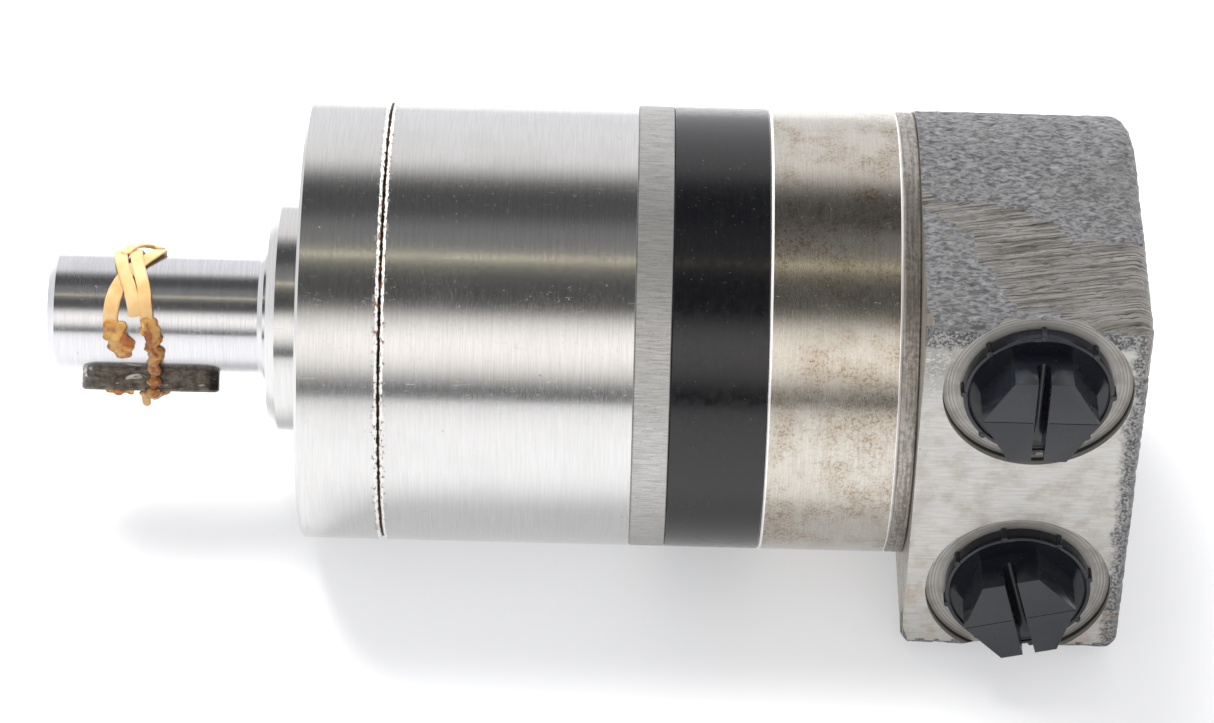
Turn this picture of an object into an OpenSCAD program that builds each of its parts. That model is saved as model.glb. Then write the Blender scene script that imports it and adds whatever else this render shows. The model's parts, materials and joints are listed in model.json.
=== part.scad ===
// Compact orbital hydraulic motor: spool valve in front, roller gear set in
// the middle, cast port housing at the rear. The shaft axis is X and the
// shaft points along -X. The origin is on that axis, in the mounting face.
// The two ports face -Y.

/* [Body] */
// Diameter of the turned body
body_d = 60; // [58:0.5:64]
// Mounting face to the joint of front cover and valve housing
cover_end = 11.05; // [10.5:0.05:12]
// Mounting face to the front of the spacer plate
housing_end = 44.45; // [44:0.05:46]
// Mounting face to the front of the gear ring
plate_end = 49.15; // [48.5:0.05:50]
// Mounting face to the front of the channel plate
ring_end = 61.95; // [61.5:0.05:63]
// Mounting face to the front of the port housing
channel_end = 79.3; // [78:0.1:81]
// Mounting face to the rear end
total_l = 110.6; // [109:0.1:114]

/* [Front face] */
// Diameter of the centring pilot
pilot_d = 31.2; // [30:0.1:32]
// Height of the pilot
pilot_h = 5; // [4:0.1:6]
// Chamfer of the pilot
pilot_chamfer = 1.3; // [0.8:0.1:1.6]
// Pitch circle of the mounting holes
mount_pcd = 45; // [44:0.5:47]
// Minor diameter of the M6 mounting threads
mount_hole_d = 5; // [4.8:0.1:5.2]
// Depth of the mounting threads
mount_depth = 9.5; // [7:0.5:10]

/* [Shaft and key] */
// Diameter of the keyed shaft end
shaft_d = 15.875; // [15:0.005:16]
// Distance of the shaft tip from the mounting face
shaft_reach = 35; // [33:0.1:38]
// Diameter of the collar in the pilot
collar_d = 17.6; // [17:0.1:18.4]
// Distance of the collar's front from the mounting face
collar_reach = 6.5; // [5.5:0.1:8]
// Length of the round-ended key
key_len = 18.8; // [16:0.1:20]
// Width and height of the key
key_w = 4.76; // [4:0.01:5]
// Distance of the key's top from the shaft axis
key_top = 10.6; // [10.2:0.1:11]
// Distance of the key's middle from the mounting face
key_reach = 21.4; // [19:0.1:23]
// Turn of the keyway from straight down towards the ports
key_turn = 40; // [0:1:90]

/* [Gear set] */
// Pitch radius of the rollers
roller_pitch_r = 17; // [16.8:0.05:17.1]
// Roller radius
roller_r = 3.5; // [3.4:0.05:3.6]
// Offset of the star from the shaft axis
star_offset = 1.65; // [1.6:0.01:1.7]
// Running gap between star and rollers
star_gap = 0.06; // [0.05:0.01:0.08]

/* [Ports] */
// Distance of the port face from the shaft axis
port_face = 32.2; // [31:0.1:34]
// Distance of the ports from the mounting face
port_x = 96.5; // [95:0.1:98]
// Spacing of the two ports
port_spacing = 34.5; // [34:0.1:36]
// Wall diameter of the port thread, 9/16-18 UNF
port_bore_d = 14.28; // [14:0.02:14.5]
// Depth of the port thread from the port face
port_depth = 13; // [12:0.1:13.5]
// Diameter of the spot face
spot_d = 24.7; // [24:0.1:25]
// Depth of the spot face
spot_depth = 1.35; // [1:0.05:1.6]

/* [Port plugs] */
// Diameter of the plug flange
plug_flange_d = 19.4; // [19:0.1:20]
// Height of the flange rim
plug_rim_h = 2.1; // [1.8:0.1:2.4]
// Width across flats of the hexagon
plug_hex = 13; // [12:0.1:13.4]
// Height of the hexagon above the rim
plug_hex_h = 5.2; // [4.5:0.1:6]
// Width of the slot
plug_slot_w = 1.65; // [1.4:0.05:1.8]
// Depth of the slot
plug_slot_depth = 3.2; // [2.6:0.1:3.6]
// Turn of the first plug's hexagon
plug_a_turn = 0; // [0:1:59]
// Turn of the second plug's hexagon
plug_b_turn = 15; // [0:1:59]

/* [Fasteners] */
// Pitch radius of the clamp bolts
bolt_pitch_r = 21; // [20.8:0.1:21.4]
// Shank diameter of the screws
screw_d = 5; // [5:0.1:5.2]
// Head diameter of the screws
screw_head_d = 8.5; // [8:0.1:8.6]

/* [Hidden] */
$fn = 96;
tiny = 0.01;
body_r = body_d / 2;
rollers = 7;
lobes = rollers - 1;
bolts = rollers;

// Casting of the port housing
cast_r = body_r + 0.2;          // as-cast round back
cast_half_w = 28.6;             // half width at the port face
cast_front = channel_end + 2.3; // front face of the casting's block
cast_back_round = 2.6;
cast_face_round = 1.5;
cast_corner = 0.9;              // chamfer along the sides of the port face
cast_front_cone_r = 41;         // the front corners are turned back outside it

// Shaft stations, from the mounting face
spool_front = 10.4;
journal_end = 20;
spool_end = housing_end - 0.25;
spool_r = 12.5;
spool_bore_r = 8.5;
spool_bore_front = 17;
spool_waist = [29.5, 32];       // shallow turned relief
journal_r = 11;
needle_d = 2;
needles = 24;
run_gap = 0.05;                 // radial running clearance

// Seals and thrust bearing, from the mounting face
dust_pocket_r = 12.6;
dust_seal_span = [-4.6, -2.3];
seal_pocket_r = 13;
shaft_seal_span = [-0.7, 4.8];
washer_span = [4.9, 5.9];
race_front_span = [6.2, 7.2];
thrust_span = [7.25, 9.25];
race_rear_span = [9.3, 10.35];
thrust_pocket_r = 14.8;
race_r = [9.2, 14.2];
thrust_rollers = 18;

// Cardan drive
head_len = 6;
spline_teeth = 12;
front_head_x = 22.5;
rear_head_x = (plate_end + ring_end) / 2;
drive_tilt = atan(star_offset / (rear_head_x - front_head_x));
drive_end = 60.2;
drive_room_r = 9.8;
ball_r = 3;
ball_seat_r = 6.2;
ball_seat_depth = 2;
ball_x = ring_end + ball_seat_depth - ball_r - run_gap;
ball_orbit_r = (ball_x - front_head_x) * tan(drive_tilt);

// Face seals between the sections
o_ring_pitch_r = 26.5;
o_ring_r = 0.7;
o_ring_depth = 1.42;
joints_x = [cover_end, housing_end, plate_end, ring_end, channel_end];

// Oil ways
oil_hole_r = 2;
oil_link = [-20.2, 11];         // Y and Z of the two rear oil holes
wide_bolt_r = 3.2;
chamber_hole_r = 1.6;
chamber_pitch_r = 15.6;
chamber_x = 42.2;               // floor of the chamber holes in the valve housing
timing_slot_end = 43.2;
link_hole_r = 1.4;
groove_a = [38.5, 41.3];
groove_b = [33, 36];
groove_r = 15;

// Screws
head_h = 5;
bolt_head_x = total_l - 6.5;
bolt_tip_x = 25;
cover_head_x = 5.5;
cover_tip_x = 20;
cover_pitch_r = 21.5;            // inside the mounting holes' circle

// Check valves in the channel plate: Y and Z of the first, the other mirrors it in Z
check_yz = [11, 13];
check_ball_r = 2;
check_seat_r = 1.5;
check_bore_r = 2.6;
check_ball_x = channel_end - 9;

// Local +Z to world +X, local X and Y to world Y and Z
module axial(x0 = 0) translate([x0, 0, 0]) rotate([90, 0, 90]) children();

// Copies around the shaft axis; a turn of 0 starts at +Y
module around(count, r, x0, turn = 0)
    for (i = [0 : count - 1])
        axial(x0) rotate([0, 0, turn + i * 360 / count]) translate([r, 0, 0]) children();

// Ring or disc between two stations
module disc(span, r_out, r_in = 0)
    axial(span[0]) difference() {
        cylinder(h = span[1] - span[0], r = r_out);
        if (r_in > 0)
            translate([0, 0, -tiny]) cylinder(h = span[1] - span[0] + 2 * tiny, r = r_in);
    }

// Turned drum with a chamfer at each end
module drum(x0, x1, r, front_chamfer, rear_chamfer)
    axial(x0) rotate_extrude()
        polygon([[0, 0], [r - front_chamfer, 0], [r, front_chamfer],
                 [r, x1 - x0 - rear_chamfer], [r - rear_chamfer, x1 - x0], [0, x1 - x0]]);

module bore(x0, x1, r) axial(x0) cylinder(h = x1 - x0, r = r);

// Groove for a face seal, cut forwards of a joint
module o_ring_groove(x)
    axial(x - o_ring_depth) difference() {
        cylinder(h = o_ring_depth + tiny, r = o_ring_pitch_r + o_ring_r + 0.15);
        translate([0, 0, -tiny])
            cylinder(h = o_ring_depth + 3 * tiny, r = o_ring_pitch_r - o_ring_r - 0.15);
    }

bolt_turn = 180;                              // one bolt points at the ports
module bolt_holes(x0, x1, r = screw_d / 2 + 0.15)
    around(bolts, bolt_pitch_r, x0, bolt_turn) cylinder(h = x1 - x0, r = r, $fn = 32);

// The bolts either side of the one at the ports run in wide holes that carry oil
module oil_bolt_hole(side, x0, x1)
    axial(x0) rotate([0, 0, bolt_turn + side * 360 / bolts])
        translate([bolt_pitch_r, 0, 0]) cylinder(h = x1 - x0, r = wide_bolt_r, $fn = 48);

module chamber_holes(x0, x1)
    around(bolts, chamber_pitch_r, x0, bolt_turn)
        cylinder(h = x1 - x0, r = chamber_hole_r, $fn = 32);

// Socket screw along +Z from the underside of its head, the head up
module socket_screw(len) {
    difference() {
        union() {
            cylinder(h = head_h - 0.4, d = screw_head_d, $fn = 48);
            translate([0, 0, head_h - 0.4])
                cylinder(h = 0.4, d1 = screw_head_d, d2 = screw_head_d - 0.8, $fn = 48);
        }
        translate([0, 0, head_h - 2.6]) cylinder(h = 3, r = 2.33, $fn = 6);
    }
    translate([0, 0, -len]) cylinder(h = len + tiny, d = screw_d - 0.1, $fn = 32);
}

// ---- Housings -------------------------------------------------------------

mount_turn = 30;                              // the cover screws sit between the holes
cover_screw_turn = mount_turn + 60;
module front_cover() {
    color("silver") difference() {
        union() {
            drum(0, cover_end, body_r, 0.4, 0.55);
            axial(-pilot_h) rotate_extrude()
                polygon([[0, 0], [pilot_d / 2 - pilot_chamfer, 0],
                         [pilot_d / 2, pilot_chamfer],
                         [pilot_d / 2, pilot_h + tiny], [0, pilot_h + tiny]]);
        }
        bore(-pilot_h - 1, cover_end + 1, collar_d / 2 + 0.6);
        bore(-pilot_h - 1, dust_seal_span[1] + 0.1, dust_pocket_r);
        bore(shaft_seal_span[0] - 0.1, race_front_span[0] - 0.2, seal_pocket_r);
        bore(race_front_span[0] - 0.2, cover_end + 1, thrust_pocket_r);
        around(3, mount_pcd / 2, -1, mount_turn)
            cylinder(h = mount_depth + 1, d = mount_hole_d, $fn = 48);
        around(3, cover_pitch_r, -1, cover_screw_turn)
            cylinder(h = cover_head_x + 1, d = screw_head_d + 0.4, $fn = 48);
        around(3, cover_pitch_r, 0, cover_screw_turn)
            cylinder(h = cover_end + 1, d = screw_d + 0.4, $fn = 32);
        o_ring_groove(cover_end);
    }
}

module valve_housing() {
    color("silver") difference() {
        drum(cover_end, housing_end, body_r, 0.55, 0.15);
        bore(cover_end - 1, journal_end + 0.4, shell_in + shell_wall + run_gap);
        bore(cover_end, housing_end + 1, spool_r + run_gap);
        bore(groove_a[0], groove_a[1], groove_r);
        bore(groove_b[0], groove_b[1], groove_r);
        bolt_holes(bolt_tip_x - 1.5, housing_end + 1, screw_d / 2);
        oil_bolt_hole(1, groove_a[0], housing_end + 1);
        oil_bolt_hole(-1, groove_b[0], housing_end + 1);
        for (side = [[1, groove_a], [-1, groove_b]])
            axial((side[1][0] + side[1][1]) / 2)
                rotate([0, 0, bolt_turn + side[0] * 360 / bolts]) translate([groove_r - 1, 0, 0])
                    rotate([0, 90, 0]) cylinder(h = 6, r = link_hole_r, $fn = 32);
        chamber_holes(chamber_x, housing_end + 1);
        for (i = [0 : bolts - 1])
            axial(chamber_x) rotate([0, 0, bolt_turn + i * 360 / bolts])
                translate([spool_r - 1, -0.9, 0]) cube([chamber_pitch_r - spool_r + 1, 1.8, 1.2]);
        around(3, cover_pitch_r, cover_end - 1, cover_screw_turn)
            cylinder(h = cover_tip_x - cover_end + 2, d = screw_d, $fn = 32);
        o_ring_groove(housing_end);
    }
}

module spacer_plate() {
    color("gainsboro") difference() {
        drum(housing_end, plate_end, body_r, 0.12, 0.12);
        bore(housing_end - 1, plate_end + 1, drive_room_r);
        bolt_holes(housing_end - 1, plate_end + 1);
        for (side = [-1, 1]) oil_bolt_hole(side, housing_end - 1, plate_end + 1);
        chamber_holes(housing_end - 1, plate_end + 1);
        o_ring_groove(plate_end);
    }
}

pocket_r = roller_r + run_gap;
cavity_r = roller_pitch_r - 0.1;
module gear_ring() {
    color("#1c1d20") difference() {
        drum(plate_end, ring_end, body_r, 0.2, 0.2);
        bore(plate_end - 1, ring_end + 1, cavity_r);
        around(rollers, roller_pitch_r, plate_end - 1)
            cylinder(h = ring_end - plate_end + 2, r = pocket_r, $fn = 64);
        bolt_holes(plate_end - 1, ring_end + 1);
        for (side = [-1, 1]) oil_bolt_hole(side, plate_end - 1, ring_end + 1);
        o_ring_groove(ring_end);
    }
}

// Check valve bore and seat, from the rear face of the channel plate
module check_bore(side)
    translate([0, check_yz[0], side * check_yz[1]]) {
        bore(check_ball_x - 0.5, channel_end + 1, check_bore_r);
        bore(ring_end + 5, check_ball_x, check_seat_r);
    }

module channel_plate() {
    color("#b3aca3") difference() {
        drum(ring_end, channel_end, body_r, 0.15, 0.3);
        bore(ring_end - 1, ring_end + ball_seat_depth, ball_seat_r);
        bolt_holes(ring_end - 1, channel_end + 1);
        for (side = [-1, 1]) {
            oil_bolt_hole(side, ring_end - 1, channel_end + 1);
            check_bore(side);
            // link from the rear oil hole to the wide bolt hole
            axial(channel_end - 4) hull() {
                translate([oil_link[0], side * oil_link[1], 0])
                    cylinder(h = 5, r = oil_hole_r, $fn = 32);
                rotate([0, 0, bolt_turn + side * 360 / bolts])
                    translate([bolt_pitch_r, 0, 0]) cylinder(h = 5, r = oil_hole_r, $fn = 32);
            }
        }
        o_ring_groove(channel_end);
    }
}

// Outline of the casting, seen along the axis: a round back and drafted sides
module cast_outline()
    polygon([[0, cast_r], [-port_face + cast_corner, cast_half_w],
             [-port_face, cast_half_w - cast_corner],
             [-port_face, -cast_half_w + cast_corner],
             [-port_face + cast_corner, -cast_half_w], [0, -cast_r]]);

// Quarter round corner of a rectangle with its far end at x1 and its sides at +-half
module rounded_end(x0, x1, half_lo, half_hi, r_lo, r_hi) union() {
    translate([x0, -half_lo]) square([x1 - x0 - max(r_lo, r_hi), half_lo + half_hi]);
    translate([x0, -half_lo + r_lo]) square([x1 - x0, half_lo + half_hi - r_lo - r_hi]);
    if (r_lo > 0) translate([x1 - r_lo, -half_lo + r_lo]) circle(r_lo, $fn = 48);
    if (r_hi > 0) translate([x1 - r_hi, half_hi - r_hi]) circle(r_hi, $fn = 48);
}

module casting() {
    intersection() {
        axial(cast_front) linear_extrude(total_l - cast_front) cast_outline();
        // the port face's rear edge
        translate([0, 0, -body_r - 5]) linear_extrude(2 * body_r + 10)
            rounded_end(cast_front, total_l, port_face, 1, cast_face_round, 0);
        // the rear edges of the two sides
        rotate([90, 0, 0]) translate([0, 0, -1]) linear_extrude(port_face + 2)
            rounded_end(cast_front, total_l, cast_r - 0.4, cast_r - 0.4,
                        cast_back_round, cast_back_round);
        // the front corners are turned back to a cone
        axial(cast_front) rotate_extrude()
            polygon([[0, 0], [cast_front_cone_r, 0], [cast_front_cone_r + 3, 2],
                     [cast_front_cone_r + 3, 40], [0, 40]]);
    }
    axial(cast_front) rotate_extrude() union() {
        square([cast_r, total_l - cast_front - cast_back_round]);
        square([cast_r - cast_back_round, total_l - cast_front]);
        translate([cast_r - cast_back_round, total_l - cast_front - cast_back_round])
            intersection() {
                circle(cast_back_round, $fn = 64);
                square(cast_back_round);
            }
    }
}

// Cone that the O-ring seats in, at the mouth of the port thread
port_mouth = 3;
port_mouth_r = 8.9;

// Frame of a port: local +Z leaves the port, local Y is world Z
module at_port(side) translate([port_x, -port_face, side * port_spacing / 2])
    rotate([90, 0, 0]) children();

module port_hole() {
    translate([0, 0, -spot_depth]) cylinder(h = 4, d = spot_d);
    translate([0, 0, -port_depth]) cylinder(h = port_depth, d = port_bore_d);
    translate([0, 0, -spot_depth - port_mouth])
        cylinder(h = port_mouth + tiny, r1 = port_bore_d / 2, r2 = port_mouth_r);
}

module port_housing() {
    color("#9b9a96") difference() {
        union() {
            drum(channel_end, cast_front, body_r, 0.15, 0);
            casting();
        }
        for (side = [-1, 1]) {
            at_port(side) port_hole();
            translate([0, oil_link[0], side * oil_link[1]])
                bore(channel_end - 1, port_x + 2, oil_hole_r);
        }
        bolt_holes(channel_end - 1, total_l + 1);
        bolt_counterbores();
    }
}

module bolt_counterbores()
    around(bolts, bolt_pitch_r, bolt_head_x, bolt_turn)
        cylinder(h = total_l - bolt_head_x + 1, d = screw_head_d + 0.5, $fn = 48);

// ---- Shaft, key, seals and bearings ---------------------------------------

// Outline with teeth: root radius, tip radius, half angle of a tooth at root and tip
function spline_points(root, tip, root_half, tip_half) =
    [for (i = [0 : spline_teeth - 1], c = [[root, -root_half], [tip, -tip_half],
                                           [tip, tip_half], [root, root_half]])
        let(a = i * 360 / spline_teeth + c[1]) [c[0] * cos(a), c[0] * sin(a)]];

module male_spline(h) linear_extrude(h) polygon(spline_points(6, 7.2, 7, 6));
module female_spline(h) linear_extrude(h) polygon(spline_points(6.3, 7.5, 9.2, 8.2));

module output_shaft() {
    tip_chamfer = 1;
    color("#8d8f92") difference() {
        axial(-shaft_reach) rotate_extrude()
            polygon([for (p = [[0, -shaft_reach], [shaft_d / 2 - tip_chamfer, -shaft_reach],
                               [shaft_d / 2, -shaft_reach + tip_chamfer],
                               [shaft_d / 2, -collar_reach],
                               [collar_d / 2 - 0.5, -collar_reach],
                               [collar_d / 2, -collar_reach + 0.7],
                               [collar_d / 2, spool_front], [journal_r - 0.3, spool_front],
                               [journal_r, spool_front + 0.3], [journal_r, journal_end],
                               [spool_r - 0.3, journal_end], [spool_r, journal_end + 0.5],
                               [spool_r, spool_waist[0]], [spool_r - 0.8, spool_waist[0] + 0.3],
                               [spool_r - 0.8, spool_waist[1] - 0.3], [spool_r, spool_waist[1]],
                               [spool_r, spool_end - 0.4],
                               [spool_r - 0.4, spool_end], [0, spool_end]])
                     [p[0], p[1] + shaft_reach]]);
        // cardan bore with its teeth
        bore(spool_bore_front, front_head_x - head_len / 2 - 0.7, 7.6);
        axial(front_head_x - head_len / 2 - 0.8) female_spline(head_len + 1.6);
        bore(front_head_x + head_len / 2 + 0.7, spool_end + 1, spool_bore_r);
        // timing slots, open to the two oil grooves in turn
        for (i = [0 : 2 * lobes - 1])
            axial(i % 2 == 0 ? groove_a[0] : groove_b[0])
                rotate([0, 0, i * 180 / lobes]) translate([spool_r - 0.9, -1, 0])
                    cube([2, 2, timing_slot_end - (i % 2 == 0 ? groove_a[0] : groove_b[0])]);
        // centre hole in the shaft end
        axial(-shaft_reach - tiny) cylinder(h = 2, r1 = 2.6, r2 = 0.6, $fn = 48);
        key_bar(key_w / 2 + 0.01, key_top - key_w - 0.02, key_top);
    }
}

// Bar with round ends, standing out of the shaft between two distances from its axis
module key_bar(half_w, low, high)
    rotate([-key_turn, 0, 0]) translate([-key_reach, 0, -high]) hull()
        for (end = [-1, 1]) translate([end * (key_len - key_w) / 2, 0, 0])
            cylinder(h = high - low, r = half_w, $fn = 48);

module shaft_key() {
    edge = 0.3;
    color("#5f6264") hull() {
        key_bar(key_w / 2, key_top - key_w, key_top - edge);
        key_bar(key_w / 2 - edge, key_top - key_w, key_top);
    }
}

// Rubber band that holds the key in its seat
band_span = [-27.2, -19];
band_t = 1.1;
module band_outline(grow) offset(r = grow, $fn = 48) hull() {
    circle(d = shaft_d, $fn = 64);
    translate([-key_w / 2, -key_top]) square([key_w, key_top]);
}
module key_band() {
    color("#d9b277") rotate([-key_turn, 0, 0]) axial(band_span[0])
        linear_extrude(band_span[1] - band_span[0]) difference() {
            band_outline(band_t);
            band_outline(0.1);
        }
}

module dust_seal() {
    color("#2b2b2b") axial(dust_seal_span[0]) rotate_extrude()
        polygon([[collar_d / 2 + run_gap, 0], [collar_d / 2 + 0.6, 0],
                 [collar_d / 2 + 1.4, 0.9], [dust_pocket_r - 1, 0.9], [dust_pocket_r, 0.5],
                 [dust_pocket_r, dust_seal_span[1] - dust_seal_span[0]],
                 [collar_d / 2 + 1.2, dust_seal_span[1] - dust_seal_span[0]],
                 [collar_d / 2 + run_gap, 0.5]]);
}

module shaft_seal() {
    len = shaft_seal_span[1] - shaft_seal_span[0];
    color("#38383c") axial(shaft_seal_span[0]) rotate_extrude()
        polygon([[collar_d / 2 + 0.8, 0], [seal_pocket_r, 0], [seal_pocket_r, len],
                 [seal_pocket_r - 1.2, len], [seal_pocket_r - 1.6, 1.4],
                 [collar_d / 2 + 1.6, 1.4], [collar_d / 2 + 1.3, len - 0.3],
                 [collar_d / 2 + run_gap, len - 1.2], [collar_d / 2 + run_gap, len - 1.6],
                 [collar_d / 2 + 0.8, 1]]);
}

module seal_washer() {
    color("silver") disc(washer_span, seal_pocket_r, collar_d / 2 + 0.3);
}

module thrust_race_front() {
    color("lightsteelblue") disc(race_front_span, race_r[1], race_r[0]);
}

module thrust_race_rear() {
    color("lightsteelblue") disc(race_rear_span, race_r[1], race_r[0]);
}

module thrust_needles() {
    roller_start = 10.35;
    roller_len = 3;
    roller_r = 0.92;
    mid = (thrust_span[0] + thrust_span[1]) / 2;
    color("#c2a25c") difference() {
        disc([mid - 0.55, mid + 0.55], race_r[1] - 0.1, race_r[0] + 0.3);
        around(thrust_rollers, 0, mid)
            translate([roller_start - 0.15, -roller_r - 0.03, -1])
                cube([roller_len + 0.3, 2 * roller_r + 0.06, 2]);
    }
    color("silver") around(thrust_rollers, roller_start, mid) rotate([0, 90, 0])
        cylinder(h = roller_len, r = roller_r, $fn = 24);
}

bearing_span = [12, 19.6];
shell_in = journal_r + 2 * run_gap + needle_d;
shell_wall = 1.2;
module bearing_shell() {
    color("silver") difference() {
        disc(bearing_span, shell_in + shell_wall, journal_r + 0.5);
        disc([bearing_span[0] + 0.8, bearing_span[1] - 0.8], shell_in);
    }
}

module bearing_needles() {
    color("lightgray") around(needles, journal_r + run_gap + needle_d / 2, bearing_span[0] + 0.9)
        cylinder(h = bearing_span[1] - bearing_span[0] - 1.8, d = needle_d - 0.02, $fn = 24);
}

// ---- Gear set and drive ---------------------------------------------------

// The roller centres trace this curve past the star; the flank lies inside it
function star_point(t) =
    let(r = roller_pitch_r, e = star_offset, n = rollers,
        speed = sqrt(r * r + n * n * e * e - 2 * n * r * e * cos(lobes * t)),
        off = (roller_r + star_gap) / speed)
    [r * cos(t) - e * cos(n * t) + off * (n * e * cos(n * t) - r * cos(t)),
     r * sin(t) - e * sin(n * t) + off * (n * e * sin(n * t) - r * sin(t))];

// Steps of the curve's parameter that close up where the flank turns sharply
function flank_step(s) = s - 0.6 * sin(lobes * s) / lobes * 180 / PI;

module star() {
    width = ring_end - plate_end - 2 * run_gap;
    relief_r = 7.8;
    relief = 0.8;
    color("#a9abae") translate([0, star_offset, 0]) axial(plate_end + run_gap) difference() {
        linear_extrude(width) polygon([for (i = [0 : 2 : 358]) star_point(flank_step(i))]);
        translate([0, 0, -1]) female_spline(width + 2);
        for (z = [-1, width - relief]) translate([0, 0, z]) cylinder(h = 1 + relief, r = relief_r);
    }
}

module roller(k) {
    color("#c9cbce") axial(plate_end + run_gap)
        rotate([0, 0, k * 360 / rollers]) translate([roller_pitch_r, 0, 0])
            cylinder(h = ring_end - plate_end - 2 * run_gap, r = roller_r, $fn = 64);
}

// Frame of the tilted drive, at its front head
module on_drive() translate([front_head_x, 0, 0]) rotate([0, 0, drive_tilt]) axial() children();

module cardan_drive() {
    rear_head = (rear_head_x - front_head_x) / cos(drive_tilt);
    drive_len = (drive_end - front_head_x) / cos(drive_tilt);
    head_crown_r = 7.6;
    nose = 4.5;
    stem_r = 5;
    tail_r = 5.6;
    color("#7d7f83") difference() {
        on_drive() {
            for (head = [0, rear_head]) intersection() {
                translate([0, 0, head - head_len / 2]) male_spline(head_len);
                translate([0, 0, head]) sphere(r = head_crown_r);
            }
            translate([0, 0, -nose]) cylinder(h = drive_len + nose, r = stem_r);
            translate([0, 0, rear_head]) cylinder(h = drive_len - rear_head, r = tail_r);
        }
        drive_ball_shape(ball_r + 0.08);
    }
}

module drive_ball_shape(r) translate([ball_x, ball_orbit_r, 0]) sphere(r = r);
module drive_ball() { color("silver") drive_ball_shape(ball_r); }

// ---- Face seals and fasteners ---------------------------------------------

module o_ring(i) {
    color("#222222") axial(joints_x[i] - o_ring_r) rotate_extrude()
        translate([o_ring_pitch_r, 0]) circle(o_ring_r - 0.01, $fn = 24);
}

module clamp_bolts() {
    color("#3a3b3e") around(bolts, bolt_pitch_r, bolt_head_x, bolt_turn)
        socket_screw(bolt_head_x - bolt_tip_x);
}

module cover_screws() {
    color("#3a3b3e") around(3, cover_pitch_r, cover_head_x, cover_screw_turn)
        mirror([0, 0, 1]) socket_screw(cover_tip_x - cover_head_x);
}

// ---- Port plugs -----------------------------------------------------------

thread_pitch = 25.4 / 18;
thread_r = port_bore_d / 2 - 0.09;
thread_top = -spot_depth - 2.6;
thread_turns = 5;
flange_floor = -spot_depth + 0.02;
rim_top = flange_floor + plug_rim_h;
neck_r = 5.95;

// Zigzag of the thread, as rings
function thread_points() =
    [for (i = [0 : thread_turns - 1], c = [[thread_r - 0.8, 0], [thread_r, 0.5],
                                           [thread_r, 0.62]])
        [c[0], thread_top - (i + c[1]) * thread_pitch]];

module plug(turn) {
    end_z = thread_top - thread_turns * thread_pitch;
    difference() {
        union() {
            rotate_extrude()
                polygon(concat([[0, rim_top - 0.5], [plug_flange_d / 2 - 0.5, rim_top - 0.5],
                                [plug_flange_d / 2 - 0.5, rim_top],
                                [plug_flange_d / 2 - 0.15, rim_top],
                                [plug_flange_d / 2, rim_top - 0.15],
                                [plug_flange_d / 2, flange_floor], [neck_r, flange_floor],
                                [neck_r, thread_top]], thread_points(),
                               [[thread_r - 0.8, end_z], [thread_r - 1.4, end_z - 0.6],
                                [0, end_z - 0.6]]));
            for (i = [0 : 7]) rotate([0, 0, i * 45 + turn])
                translate([plug_flange_d / 2 - 0.4, -0.35, flange_floor])
                    cube([0.7, 0.7, plug_rim_h]);
            rotate([0, 0, turn]) translate([0, 0, rim_top - 0.6])
                cylinder(h = plug_hex_h + 0.6, d = plug_hex / cos(30), $fn = 6);
        }
        rotate([0, 0, turn]) {
            slot_floor = rim_top + plug_hex_h - plug_slot_depth;
            translate([-plug_slot_w / 2, -plug_hex, slot_floor])
                cube([plug_slot_w, 2 * plug_hex, 10]);
            translate([0, plug_hex, slot_floor]) rotate([90, 0, 0])
                cylinder(h = 2 * plug_hex, r = 0.95, $fn = 24);
        }
        // hollow moulding, open at the inner end
        translate([0, 0, end_z - 1]) cylinder(h = -end_z + rim_top - 2, r = 4.4);
    }
}

module plug_seal() rotate_extrude()
    translate([neck_r + 1, -spot_depth - 1.1]) circle(0.97, $fn = 24);

// ---- Check valves ---------------------------------------------------------

module at_check(side, x) translate([x, check_yz[0], side * check_yz[1]]) children();

module check_ball(side) {
    color("silver") at_check(side, check_ball_x + sqrt(pow(check_ball_r, 2)
                                                       - pow(check_seat_r, 2)) + 0.03)
        sphere(r = check_ball_r, $fn = 48);
}

spring_wire_r = 0.25;
spring_r = 1.7;
spring_turns = 3.5;
spring_x = check_ball_x + 4.2;
spring_len = 2.2;
spring_sides = 8;
spring_steps = 56;

// Helix swept with a round wire and closed at both ends
module coil_spring() {
    rings = [for (i = [0 : spring_steps])
        let(a = i * 360 * spring_turns / spring_steps, x = i * spring_len / spring_steps)
        for (j = [0 : spring_sides - 1])
            let(b = j * 360 / spring_sides, r = spring_r + spring_wire_r * cos(b))
            [x + spring_wire_r * sin(b), r * cos(a), r * sin(a)]];
    skin = [for (i = [0 : spring_steps - 1], j = [0 : spring_sides - 1])
        let(n = (j + 1) % spring_sides)
        [i * spring_sides + j, (i + 1) * spring_sides + j,
         (i + 1) * spring_sides + n, i * spring_sides + n]];
    caps = [[for (j = [0 : spring_sides - 1]) j],
            [for (j = [spring_sides - 1 : -1 : 0]) spring_steps * spring_sides + j]];
    polyhedron(points = rings, faces = concat(skin, caps));
}

module check_spring(side) {
    color("silver") at_check(side, spring_x) coil_spring();
}

module check_screws() {
    color("gray") for (side = [-1, 1])
        at_check(side, channel_end - 2.2) rotate([0, 90, 0]) difference() {
            cylinder(h = 2, r = check_bore_r - 0.02, $fn = 32);
            translate([0, 0, -tiny]) cylinder(h = 3, r = 1.1, $fn = 6);
        }
}

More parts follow.
